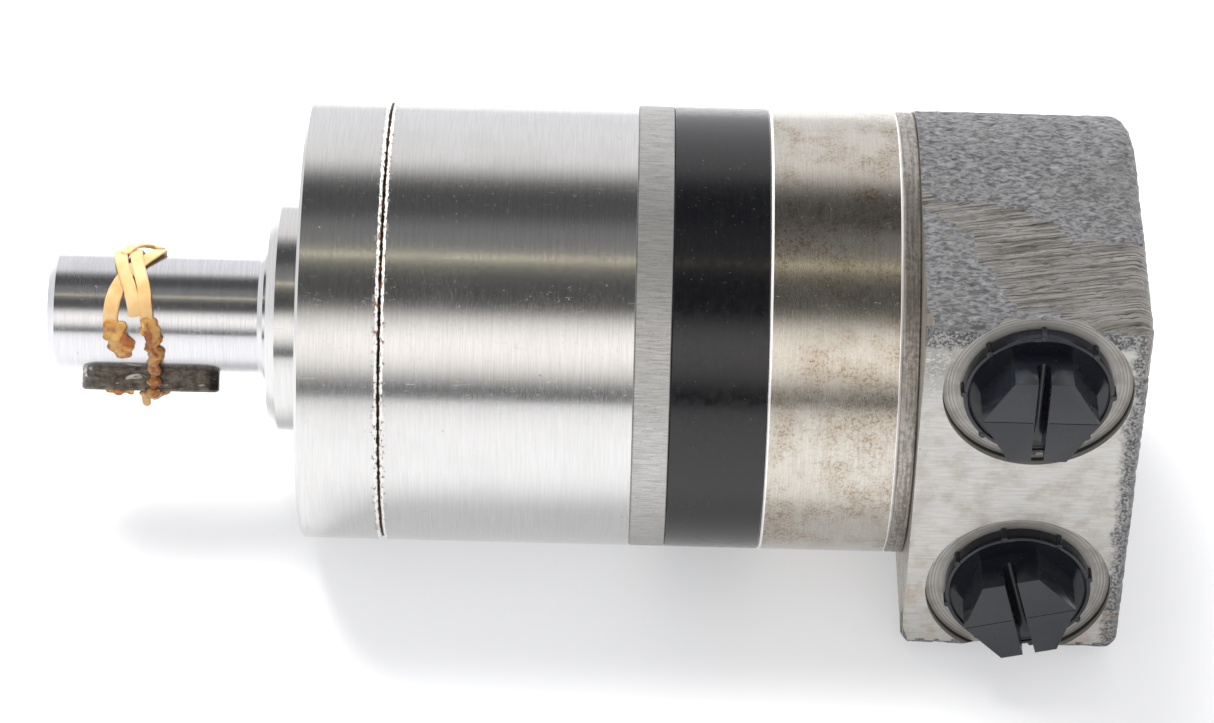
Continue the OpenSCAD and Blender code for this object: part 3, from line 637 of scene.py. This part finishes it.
def casting_point(p, normal):
    """The finished place of a point of the casting: sand skin, dressing, milling."""
    height = sand(p)
    if normal.y < -0.99:
        height = max(height, 0.05 - MILLED_OFF)     # the mill cleaned up the deepest pits
    done = dressed(p)
    if done > 0:
        line = p.y - GRIND_SLOPE * p.x
        groove = noise.noise(Vector((p.x * 0.05, line * 1.9, 0))) * 0.09
        height = height * (1 - done) + done * min(height, -0.03 + groove)
    q = p + normal * height
    if q.y < -PORT_FACE:
        q.y = -PORT_FACE
    return q


def edge_round(y):
    """Radius of the rear edge, which is smaller along the port face."""
    return FACE_ROUND if y < -PORT_FACE + 0.5 else REAR_ROUND


def outward(outline, i):
    """Direction away from the casting at a point of its outline."""
    (y0, z0), (y1, z1) = outline[i - 1], outline[(i + 1) % len(outline)]
    d = math.hypot(y1 - y0, z1 - z0)
    return Vector((0, (z0 - z1) / d, (y1 - y0) / d))


def front_rings(outline):
    """Turned front face, from under the collar outwards."""
    for t in (0.0, 0.35, 0.7):
        ring = []
        for y, z in outline:
            r = math.hypot(y, z)
            k = (BODY_R - UNDER_COLLAR + (r - BODY_R + UNDER_COLLAR) * t) / r
            ring.append((cone_x(y * k, z * k), y * k, z * k))
        yield ring


def wall_rings(outline, normals):
    """Swept wall, from the cone back to the rear edge."""
    steps = round((REAR_X - CAST_FRONT) / RING_STEP)
    for j in range(steps + 1):
        ring = []
        for (y, z), normal in zip(outline, normals):
            x0 = cone_x(y, z)
            x = x0 + (REAR_X - edge_round(y) - x0) * j / steps
            ring.append(casting_point(Vector((x, y, z)), normal))
        yield ring


def rear_edge_rings(outline, normals):
    """Rounded rear edge."""
    for j in range(1, EDGE_RINGS + 1):
        a = math.pi / 2 * j / EDGE_RINGS
        ring = []
        for (y, z), normal in zip(outline, normals):
            round_r = edge_round(y)
            inset = round_r * (1 - math.cos(a))
            r = math.hypot(y, z)
            p = Vector((REAR_X - round_r * (1 - math.sin(a)), y * (1 - inset / r),
                        z * (1 - inset / r)))
            out = (normal * math.cos(a) + Vector((1, 0, 0)) * math.sin(a)).normalized()
            q = casting_point(p, out)
            q.x = min(q.x, REAR_X)
            ring.append(q)
        yield ring


def rear_face_rings(outline):
    """Rough rear face, drawn in towards its middle."""
    for j in range(1, REAR_RINGS):
        ring = []
        for y, z in outline:
            k = (1 - edge_round(y) / math.hypot(y, z)) * (1 - j / REAR_RINGS)
            p = Vector((REAR_X, y * k, z * k))
            ring.append((REAR_X - REAR_DIP + sand(p), p.y, p.z))
        yield ring


def casting_bmesh():
    """Skin of the casting, closed by a flat face at each end."""
    outline = cast_outline()
    n = len(outline)
    normals = [outward(outline, i) for i in range(n)]
    bm = bmesh.new()
    rings = []
    for stretch in (front_rings(outline), wall_rings(outline, normals),
                    rear_edge_rings(outline, normals), rear_face_rings(outline)):
        rings += [[bm.verts.new(p) for p in ring] for ring in stretch]
    for one, two in zip(rings, rings[1:]):
        for i in range(n):
            j = (i + 1) % n
            bm.faces.new((one[i], two[i], two[j], one[j]))
    bm.faces.new(rings[0])
    bm.faces.new(list(reversed(rings[-1])))
    bmesh.ops.remove_doubles(bm, verts=bm.verts, dist=1e-5)
    bmesh.ops.recalc_face_normals(bm, faces=bm.faces)
    return bm


CAST, GROUND, MILLED, TURNED_FRONT, COLLAR, SPOT_A, SPOT_B, BORE = range(8)


def paint_casting(bm):
    """Chooses each face's material slot by what tool made it."""
    for face in bm.faces:
        c = face.calc_center_median()
        if all(abs(v.co.y + PORT_FACE) < 1e-4 for v in face.verts):
            face.material_index = MILLED
        elif all(v.co.x <= cone_x(v.co.y, v.co.z) + 1e-3 for v in face.verts):
            face.material_index = TURNED_FRONT
        elif dressed(c) > 0.35:
            face.material_index = GROUND


BORE_R = 7.14                    # crests of the port's thread
SEAT_L = 3                       # tapered seat of the O-ring
BORE_END = -13
PORT_THREADS = 6
BOLT_COUNT = 7
BOLT_CIRCLE_R = 21
BOLT_HEAD_L = 5
COUNTERBORE_R = 4.5


def port_cutters():
    """Spot faces, threads and oil holes of both ports, and the bolt counterbores."""
    bm = bmesh.new()
    for side, slot in (("a", SPOT_A), ("b", SPOT_B)):
        profile = [(3, 0), (3, SPOT_R), (-SPOT_DEPTH, SPOT_R)]
        profile += [(-SPOT_DEPTH, r) for r in (11.2, 10, 8.9)]
        profile += [(-SPOT_DEPTH - SEAT_L, BORE_R)]
        for i in range(PORT_THREADS):
            top = -SPOT_DEPTH - 3.2 - i * THREAD_PITCH
            profile += [(top, BORE_R), (top - THREAD_PITCH * 0.5, BORE_R - 0.55)]
        profile += [(BORE_END, BORE_R - 0.5), (BORE_END - 3.4, 0)]
        lathe(bm, profile, port_map(PORTS[side]), 128, slot)
    head_x = mm_box("clamp_bolts")[1][0] - BOLT_HEAD_L
    for i in range(BOLT_COUNT):
        a = math.pi + 2 * math.pi * i / BOLT_COUNT
        y, z = BOLT_CIRCLE_R * math.cos(a), BOLT_CIRCLE_R * math.sin(a)
        mouth_r = COUNTERBORE_R + 0.6
        lathe(bm, [(head_x, 0), (head_x, COUNTERBORE_R), (REAR_X - 0.4, COUNTERBORE_R),
                   (REAR_X + 0.3, mouth_r), (REAR_X + 3, mouth_r), (REAR_X + 3, 0)],
              lambda along, u, v: (along, y + u, z + v), 48, BORE)
    return bm


def add_port_housing(mats):
    """Casting with its turned collar, ports and counterbores."""
    bm = casting_bmesh()
    paint_casting(bm)
    small, large, overlap = 0.15, 0.25, 0.6         # edge breaks; the collar's end is buried
    lathe(bm, [(HOUSING_X, 0), (HOUSING_X, BODY_R - small), (HOUSING_X + small, BODY_R),
               (CAST_FRONT - large, BODY_R), (CAST_FRONT, BODY_R - large),
               (CAST_FRONT + overlap, BODY_R - large), (CAST_FRONT + overlap, 0)],
          on_x, 192, COLLAR)
    obj = new_object("port_casting", bm, mats, "root")
    cut(obj, port_cutters(), mats)
    obj.data.set_sharp_from_angle(angle=math.radians(35))
    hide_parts("port_housing")


# ---- Port plugs --------------------------------------------------------------
# Heights are measured out of the port
PLUG_FLOOR = -1.33               # underside of the flange
PLUG_RIM = PLUG_FLOOR + 2.1      # top of the flange's lip
FLANGE_R = 9.7
NECK_R = 5.95
THREAD_TOP = -3.95
THREAD_ROOT_R = 6.3
THREAD_CREST_R = 7.03
PLUG_THREADS = 5
PLUG_END = -11.4
RIB_COUNT = 8
RIB_OUTLINE = ((9.2, -0.45), (9.8, -0.45), (10.05, -0.25), (10.05, 0.25), (9.8, 0.45), (9.2, 0.45))
HEX_W = 13.0
HEX_TOP = PLUG_RIM + 5.2
SLOT_HALF_W = 1.65 / 2
SLOT_FLOOR = HEX_TOP - 3.2
CROSS_HOLE_R = 0.95
PAST_HEX = 9                     # beyond the hexagon's corners
PARTING_HALF_W = 0.05
PARTING_DEPTH = 0.09


def prism(bm, points, z0, z1, place):
    """Straight prism over an outline (u, v), between two heights."""
    low = [bm.verts.new(place(z0, u, v)) for u, v in points]
    high = [bm.verts.new(place(z1, u, v)) for u, v in points]
    n = len(points)
    for i in range(n):
        j = (i + 1) % n
        bm.faces.new((low[i], low[j], high[j], high[i]))
    bm.faces.new(list(reversed(low)))
    bm.faces.new(high)


def turned(points, angle):
    """Points (u, v) turned about the port's axis."""
    c, s = math.cos(angle), math.sin(angle)
    return [(c * u - s * v, s * u + c * v) for u, v in points]


def plug_profile():
    """Flange with its lip, neck and thread, as (height, radius)."""
    lip, edge = PLUG_RIM, FLANGE_R
    profile = [(lip - 0.55, 0), (lip - 0.55, edge - 1.0), (lip - 0.3, edge - 0.62),
               (lip - 0.05, edge - 0.55), (lip, edge - 0.45), (lip - 0.02, edge - 0.2),
               (lip - 0.12, edge - 0.06), (lip - 0.3, edge), (PLUG_FLOOR + 0.1, edge),
               (PLUG_FLOOR, edge - 0.1), (PLUG_FLOOR, NECK_R), (THREAD_TOP, NECK_R)]
    for i in range(PLUG_THREADS):
        top = THREAD_TOP - i * THREAD_PITCH
        profile += [(top, THREAD_ROOT_R), (top - THREAD_PITCH * 0.45, THREAD_CREST_R),
                    (top - THREAD_PITCH * 0.58, THREAD_CREST_R),
                    (top - THREAD_PITCH * 0.98, THREAD_ROOT_R)]
    return profile + [(PLUG_END, 5.6), (PLUG_END, 0)]


def add_plug_ribs(side, turn, place, mats):
    """Ribs round the flange."""
    bm = bmesh.new()
    for i in range(RIB_COUNT):
        outline = turned(RIB_OUTLINE, math.radians(i * 360 / RIB_COUNT) + turn)
        prism(bm, outline, PLUG_FLOOR + 0.02, PLUG_RIM + 0.04, place)
    ribs = new_object(f"port_plug_{side}_ribs", bm, mats, f"plug_{side}_body")
    modify(ribs, "BEVEL", width=0.12 * MM, segments=2, limit_method="ANGLE")


def add_plug_head(side, turn, place, mats):
    """Hexagon with a slot, a cross hole and a fine parting line across its end."""
    bm = bmesh.new()
    corner_r = HEX_W / math.sqrt(3)
    hexagon = [(corner_r * math.cos(turn + k * math.pi / 3),
                corner_r * math.sin(turn + k * math.pi / 3)) for k in range(6)]
    prism(bm, hexagon, PLUG_RIM - 0.9, HEX_TOP, place)
    bmesh.ops.recalc_face_normals(bm, faces=bm.faces)
    head = new_object(f"port_plug_{side}_head", bm, mats, f"plug_{side}_body")
    w, reach = SLOT_HALF_W, PAST_HEX
    slot_cutter = bmesh.new()
    prism(slot_cutter, turned(((-w, -reach), (w, -reach), (w, reach), (-w, reach)), turn),
          SLOT_FLOOR, HEX_TOP + 2, place)
    cut(head, slot_cutter, mats)
    c, s = math.cos(turn), math.sin(turn)
    hole_cutter = bmesh.new()
    lathe(hole_cutter, [(-reach, 0), (-reach, CROSS_HOLE_R), (reach, CROSS_HOLE_R), (reach, 0)],
          lambda along, u, v: place(SLOT_FLOOR + v, c * u - s * along, s * u + c * along), 32)
    cut(head, hole_cutter, mats)
    for half in (-1, 1):                            # the parting line, either side of the slot
        near, far = half * 1.0, half * 8
        line = ((near, -PARTING_HALF_W), (far, -PARTING_HALF_W),
                (far, PARTING_HALF_W), (near, PARTING_HALF_W))
        groove = bmesh.new()
        prism(groove, turned(line, turn), HEX_TOP - PARTING_DEPTH, HEX_TOP + 1, place)
        cut(head, groove, mats)
    modify(head, "BEVEL", width=0.14 * MM, segments=2, limit_method="ANGLE",
           angle_limit=math.radians(35))


def add_plug(side, turn, mats):
    """Moulded plug: threaded body, ribbed flange with a lip, and hexagon."""
    place = port_map(PORTS[side])
    bm = bmesh.new()
    lathe(bm, plug_profile(), place, 128)
    obj = new_object("port_plug_" + side, bm, mats, f"plug_{side}_body")
    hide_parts("plug_" + side)
    add_plug_ribs(side, turn, place, mats)
    add_plug_head(side, turn, place, mats)


# ---- Rubber band and grease ---------------------------------------------------
STRIP_THICK = 0.6
STRIP_AROUND = 14                # points round a strip's section
TAIL_RINGS = 16
TAIL_AROUND = 12


def tube(bm, rings):
    """Closed skin through rings of vertices, with a face at each end."""
    n = len(rings[0])
    for one, two in zip(rings, rings[1:]):
        for k in range(n):
            j = (k + 1) % n
            bm.faces.new((one[k], one[j], two[j], two[k]))
    bm.faces.new(list(reversed(rings[0])))
    bm.faces.new(rings[-1])
    bmesh.ops.recalc_face_normals(bm, faces=bm.faces)


def curve_through(stops, count):
    """Smooth run of points through a few (angle, x, lift) stops, Catmull-Rom."""
    ends = [stops[0]] + list(stops) + [stops[-1]]
    run = []
    for i in range(count):
        t = i / (count - 1) * (len(stops) - 1)
        k = min(int(t), len(stops) - 2)
        t -= k
        a, b, c, d = (Vector(p) for p in ends[k:k + 4])
        run.append(0.5 * (2 * b + (c - a) * t + (2 * a - 5 * b + 4 * c - d) * t * t
                          + (3 * b - a - 3 * c + d) * t * t * t))
    return run


def band_radius(angle):
    """Distance from the axis of a band stretched over shaft and key, at a place round them."""
    half_w = KEY_W / 2
    off = abs((angle - KEY_ANGLE + math.pi) % (2 * math.pi) - math.pi)
    corner = math.atan2(half_w, KEY_TOP)
    corner_r = math.hypot(half_w, KEY_TOP)
    touch = corner + math.acos(SHAFT_R / corner_r)
    if off < corner:
        return KEY_TOP / math.cos(off)
    if off < touch:
        return SHAFT_R / math.cos(touch - off)
    return SHAFT_R


def on_band(angle, x, lift):
    """Point and outward direction at an angle up from the -Y side, in radians."""
    out = Vector((0, -math.cos(angle), math.sin(angle)))
    return Vector((x, 0, 0)) + out * (band_radius(angle) + lift), out


def add_strip(name, stops, width, mats, count=72):
    """Flat rubber strip through (degrees, x, lift) stops, with soft edges and pinched ends."""
    path = [on_band(math.radians(a), x, lift) for a, x, lift in curve_through(stops, count)]
    bm = bmesh.new()
    rings = []
    for i, (p, out) in enumerate(path):
        ahead = path[min(i + 1, count - 1)][0] - path[max(i - 1, 0)][0]
        side = ahead.cross(out).normalized()
        out = side.cross(ahead).normalized()
        near_end = min(i, count - 1 - i)
        pinch = math.sin(min(1.0, (near_end + 0.6) / 4) * math.pi / 2)
        wave = 1 + 0.06 * noise.noise(p * 0.6)
        ring = []
        for k in range(STRIP_AROUND):
            a = 2 * math.pi * k / STRIP_AROUND
            u = math.copysign(abs(math.cos(a)) ** 0.5, math.cos(a)) * width / 2 * pinch * wave
            v = math.copysign(abs(math.sin(a)) ** 0.8, math.sin(a)) * STRIP_THICK / 2
            dish = -0.10 * (1 - (2 * u / width) ** 2) * (v > 0)
            ring.append(bm.verts.new(p + side * u + out * (v * pinch + dish)))
        rings.append(ring)
    tube(bm, rings)
    obj = new_object(name, bm, mats, "shaft", 60)
    modify(obj, "SUBSURF", levels=1, render_levels=1)
    return obj


def add_grease(mats):
    """Clots of amber grease where the band meets the key, fused into one skin."""
    # degrees round the shaft, x, lift off the band's line, size
    clots = [(36, -21.4, 0.4, 0.75), (29, -21.0, 0.5, 0.95), (22, -20.6, 0.45, 1.0),
             (22, -21.7, 0.3, 0.7), (14, -20.4, 0.5, 0.95), (6, -20.7, 0.5, 0.8),
             (-2, -20.1, 0.5, 0.95), (-10, -20.6, 0.4, 0.8), (-18, -20.4, 0.45, 0.85),
             (-29, -20.6, 0.4, 0.85), (-38, -20.9, 0.3, 1.05), (-47, -20.6, 0.2, 1.2),
             (-52, -19.7, 0.1, 0.8), (-44, -21.9, 0.2, 0.8), (-50, -24.4, 0.1, 0.65),
             (-50, -25.6, 0.1, 0.8), (-50, -27.0, 0.05, 0.6), (27, -26.3, 0.35, 0.9),
             (25, -24.9, 0.3, 0.9), (17, -26.2, 0.4, 1.0), (15, -25.1, 0.55, 1.1),
             (7, -25.6, 0.4, 1.0), (8, -24.4, 0.5, 1.1), (1, -24.6, 0.5, 1.1)]
    bm = bmesh.new()
    for angle, x, lift, size in clots:
        p, out = on_band(math.radians(angle), x, lift)
        turn = out.to_track_quat("Z", "Y").to_matrix().to_4x4()
        squash = Matrix.Diagonal((size * 1.2, size * 1.1, size * 0.7, 1))
        shape = Matrix.Translation(p) @ turn @ squash
        bmesh.ops.create_icosphere(bm, subdivisions=3, radius=1, matrix=shape)
    for v in bm.verts:
        v.co += v.co.normalized() * noise.noise(v.co * 1.4) * 0.22
        v.co += noise.noise_vector(v.co * 0.9) * 0.25
    obj = new_object("grease_clots", bm, mats, "shaft", 180)
    modify(obj, "REMESH", mode="VOXEL", voxel_size=0.16 * MM, use_smooth_shade=True)
    modify(obj, "SMOOTH", factor=0.5, iterations=2)


def add_band(mats):
    """Split band: one end runs over the key, the strips cross on the shaft."""
    rubber, clots = mats[:1], mats[1:]
    over_key = [(31, -21.3, 0.5), (38, -21.4, 0.75), (50, -21.6, 1.0), (63, -21.9, 1.0),
                (87, -22.9, 0.95), (110, -23.5, 0.7), (135, -23.7, 0.45), (170, -23.2, 0.35),
                (215, -22.4, 0.32), (260, -21.8, 0.32), (302, -21.6, 0.32)]
    band = add_strip("key_band_over", over_key, 1.8, rubber, 130)
    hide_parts("key_band")
    add_strip("key_band_wet", [(-58, -21.6, 0.2), (-50, -21.2, 0.22), (-28, -20.7, 0.22),
                               (-8, -20.5, 0.22), (10, -20.7, 0.24), (24, -21.1, 0.35),
                               (35, -21.35, 0.5)], 0.9, clots, 60)
    add_strip("key_band_beside", [(36, -22.9, 0.7), (44, -23.1, 0.9), (60, -23.65, 1.0),
                                  (79, -24.7, 0.95), (100, -25.4, 0.7), (130, -25.6, 0.38),
                                  (175, -24.9, 0.32), (215, -24.2, 0.32)], 1.8, rubber, 90)
    add_strip("key_band_under", [(24, -26.2, 0.3), (34, -26.3, 0.3), (54, -25.9, 0.3),
                                 (76, -24.6, 0.32), (96, -22.6, 0.34), (112, -21.2, 0.45),
                                 (128, -20.6, 0.6), (150, -21.0, 0.5), (190, -22.0, 0.95),
                                 (240, -22.9, 0.32)], 2.1, rubber, 110)
    add_strip("key_band_fold", [(104, -25.0, 0.95), (118, -24.2, 1.15), (130, -22.8, 1.3),
                                (136, -21.4, 1.2), (132, -20.2, 0.85)], 1.5, rubber, 48)
    add_tail(rubber)
    add_grease(clots)


def add_tail(mats):
    """End of the band, hanging from the key's flat."""
    out = Vector((0, -math.cos(KEY_ANGLE), math.sin(KEY_ANGLE)))
    side = Vector((1, 0, 0))
    bm = bmesh.new()
    rings = []
    for i in range(TAIL_RINGS):
        t = i / (TAIL_RINGS - 1)
        middle = out * (KEY_TOP - 0.2 + 2.3 * t) + side * (-22.2 + 0.35 * t)
        w, d = 0.55 * (1 + 0.15 * math.sin(3 * t)) * math.sin(min(1, (1.05 - t) * 5) * 1.57), 0.3
        rings.append([bm.verts.new(middle + side * w * math.cos(a)
                                   + side.cross(out) * d * math.sin(a))
                      for a in (2 * math.pi * k / TAIL_AROUND for k in range(TAIL_AROUND))])
    tube(bm, rings)
    new_object("key_band_tail", bm, mats, "shaft", 60)


# ---- Floor, light and world -----------------------------------------------------
SKIN_PROUD = 0.3                 # room for the lumps of the cast skin
FLOOR_Z = min(cad_box[0][2], -(CAST_R + SKIN_PROUD) * MM)
FLOOR_HALF = 1.6                 # in metres, as FLOOR_Z is


def add_floor():
    """Pale floor that the casting rests on."""
    bm = bmesh.new()
    corners = ((-1, -1), (1, -1), (1, 1), (-1, 1))
    bm.faces.new([bm.verts.new((x * FLOOR_HALF, y * FLOOR_HALF, FLOOR_Z)) for x, y in corners])
    mesh = bpy.data.meshes.new("floor")
    bm.to_mesh(mesh)
    bm.free()
    m = Mat("floor_white")
    m.finish(m.mix(m.noise(m.p, scale=0.01), (0.55, 0.555, 0.565), (0.57, 0.57, 0.575)),
             0.35, 0.0, Specular_IOR_Level=0.25, Emission_Color=(0.98, 0.985, 1, 1),
             Emission_Strength=0.42)
    mesh.materials.append(m.mat)
    floor = bpy.data.objects.new("floor", mesh)
    bpy.context.scene.collection.objects.link(floor)


# What a mirror sees round the shaft axis: degrees up from the front, and its light
STUDIO_RING = [
    (-180, (1.05, 1.05, 1.08)), (-60, (0.9, 0.9, 0.9)), (-20, (0.74, 0.74, 0.74)),
    (-8, (0.86, 0.86, 0.85)), (-2, (0.14, 0.14, 0.145)), (4.5, (0.13, 0.135, 0.14)),
    (9, (0.55, 0.55, 0.54)), (15, (1.2, 1.17, 1.12)), (22, (1.55, 1.48, 1.42)),
    (30, (1.6, 1.55, 1.5)), (36, (1.35, 1.32, 1.28)), (41, (0.95, 0.92, 0.88)),
    (46, (0.20, 0.19, 0.185)), (49, (0.085, 0.085, 0.085)), (62, (0.10, 0.10, 0.10)),
    (68, (0.22, 0.215, 0.19)), (71.5, (0.3, 0.29, 0.24)), (73, (2.1, 1.92, 1.42)),
    (74.5, (0.3, 0.29, 0.26)), (80, (0.27, 0.27, 0.275)), (88, (0.25, 0.25, 0.255)),
    (97, (0.10, 0.10, 0.105)), (110, (0.09, 0.09, 0.092)), (117, (0.2, 0.2, 0.2)),
    (124, (0.7, 0.68, 0.67)), (131, (1.12, 1.1, 1.1)), (160, (1.15, 1.15, 1.18)),
    (180, (1.1, 1.1, 1.14)),
]
SIDE_WALL = (0.34, 0.55)         # how far along X a reflection must lean to see a side wall
SIDE_LIGHT = (1.08, 1.08, 1.1)


def add_world():
    """Pale to the camera, even for diffuse light, and a banded studio in reflections."""
    world = bpy.data.worlds.new("studio")
    bpy.context.scene.world = world
    world.use_nodes = True
    world.node_tree.nodes.clear()
    w = Nodes(world.node_tree)
    split = w.node("ShaderNodeSeparateXYZ")
    w.link(w.node("ShaderNodeTexCoord").outputs["Generated"], split.inputs[0])
    x, y, z = split.outputs
    share = w.node("ShaderNodeMapRange")
    w.link(w.calc("ARCTAN2", z, w.calc("MULTIPLY", y, -1)), share.inputs["Value"])
    w.link(-math.pi, share.inputs["From Min"])
    w.link(math.pi, share.inputs["From Max"])
    ramp = w.node("ShaderNodeValToRGB")
    stops = ramp.color_ramp.elements
    for i, (degrees, light) in enumerate(STUDIO_RING):
        place = (degrees + 180) / 360
        stop = stops[i] if i < 2 else stops.new(place)
        stop.position = place
        stop.color = (*light, 1)
    w.link(share.outputs[0], ramp.inputs["Fac"])
    ring = w.node("ShaderNodeMix", data_type="RGBA")
    w.link(w.span(w.calc("ABSOLUTE", x), *SIDE_WALL), ring.inputs[0])
    w.link(ramp.outputs["Color"], ring.inputs[6])
    w.link((*SIDE_LIGHT, 1), ring.inputs[7])

    def background(color, strength):
        n = w.node("ShaderNodeBackground")
        w.link((*color, 1) if isinstance(color, tuple) else color, n.inputs["Color"])
        w.link(strength, n.inputs["Strength"])
        return n.outputs[0]

    def choose(factor, a, b):
        n = w.node("ShaderNodeMixShader")
        for value, socket in zip((factor, a, b), n.inputs):
            w.link(value, socket)
        return n.outputs[0]

    even = background((0.98, 0.985, 1.0), 0.74)
    mirror = background(ring.outputs[2], 1.0)
    pale = background((0.99, 0.993, 1.0), 1.0)
    path = w.node("ShaderNodeLightPath")
    shade = choose(path.outputs["Is Glossy Ray"], even, mirror)
    shade = choose(path.outputs["Is Camera Ray"], shade, pale)
    w.link(shade, w.node("ShaderNodeOutputWorld").inputs["Surface"])


def add_area_light(name, place, aim, size, watts, color):
    """Soft box that lights the scene but isn't seen in reflections."""
    data = bpy.data.lights.new(name, "AREA")
    data.shape = "RECTANGLE"
    data.size, data.size_y = size
    data.energy = watts
    data.color = color
    light = bpy.data.objects.new(name, data)
    bpy.context.scene.collection.objects.link(light)
    light.location = Vector(place)
    light.rotation_euler = (Vector(aim) - light.location).to_track_quat("-Z", "Y").to_euler()
    light.visible_glossy = False


def add_lights():
    """Softboxes above and in front; places in metres."""
    aim = (0.05, 0, 0)
    add_area_light("top_softbox", (-0.15, 0.25, 0.7), aim, (0.4, 0.3), 9.0, (1, 0.99, 0.97))
    add_area_light("front_fill", (0.2, -0.8, 0.5), aim, (0.6, 0.4), 2.0, (1, 0.98, 0.95))


# ---- Put it together -------------------------------------------------------------
def dress_cad_nodes():
    """Gives every CAD node its material."""
    by_slot = {
        "shaft_steel": turned_steel("ground_shaft", (0.66, 0.66, 0.68), (0.54, 0.54, 0.56), 0.19),
        "key_steel": key_steel("key_steel"),
        "black_paint": gloss_black("gloss_black"),
        "ground_steel": ground_plate_steel("ground_plate"),
        "warm_steel": turned_steel("warm_turned", (0.60, 0.57, 0.525), (0.47, 0.44, 0.39), 0.2,
                                   stain=0.95,
                                   # painted highlights along the chamfers at these X places
                                   edges=(CHANNEL_X + 0.15, HOUSING_X - 0.2)),
        "turned_steel": turned_steel("turned_drum", (0.64, 0.635, 0.63), (0.55, 0.545, 0.54),
                                     0.17, groove=DRUM_X),
        "bearing_steel": plain_metal("bearing_steel", (0.70, 0.71, 0.72), 0.16),
        "spring_steel": plain_metal("spring_steel", (0.5, 0.5, 0.5), 0.3),
        "black_oxide": plain_metal("black_oxide", (0.06, 0.06, 0.066), 0.38, 0.8),
        "seal_rubber": seal_rubber("seal_rubber"),
        "latex": latex("latex_band"),
        "plug_plastic": moulded_plastic("plug_plastic"),
        "cast_iron": cast_iron("cast_iron"),
    }
    for part in frame["record"]["subparts"]:
        mesh = nodes[part["node"]].data
        mesh.materials.clear()
        mesh.materials.append(by_slot[part["material_slot"]])
    return by_slot


def main():
    scene = bpy.context.scene
    scene.view_settings.view_transform = "Standard"
    add_camera()
    mats = dress_cad_nodes()
    steel = (0.56, 0.53, 0.485)
    housing = [mats["cast_iron"], ground_patch("ground_patch"), milled_face("milled_face"),
               coarse_turned("turned_front", steel, (0.40, 0.365, 0.32), 1.6),
               coarse_turned("coarse_collar", (0.40, 0.375, 0.345), (0.20, 0.18, 0.16), 1.3),
               spot_face("spot_face_a", PORTS["a"]), spot_face("spot_face_b", PORTS["b"]),
               coarse_turned("bore_wall", (0.40, 0.385, 0.37), (0.2, 0.19, 0.18), 1.4)]
    add_port_housing(housing)
    add_plug("a", 0.0, [mats["plug_plastic"]])
    add_plug("b", math.radians(15), [mats["plug_plastic"]])
    add_band([mats["latex"], grease("grease")])
    add_floor()
    add_world()
    add_lights()


main()
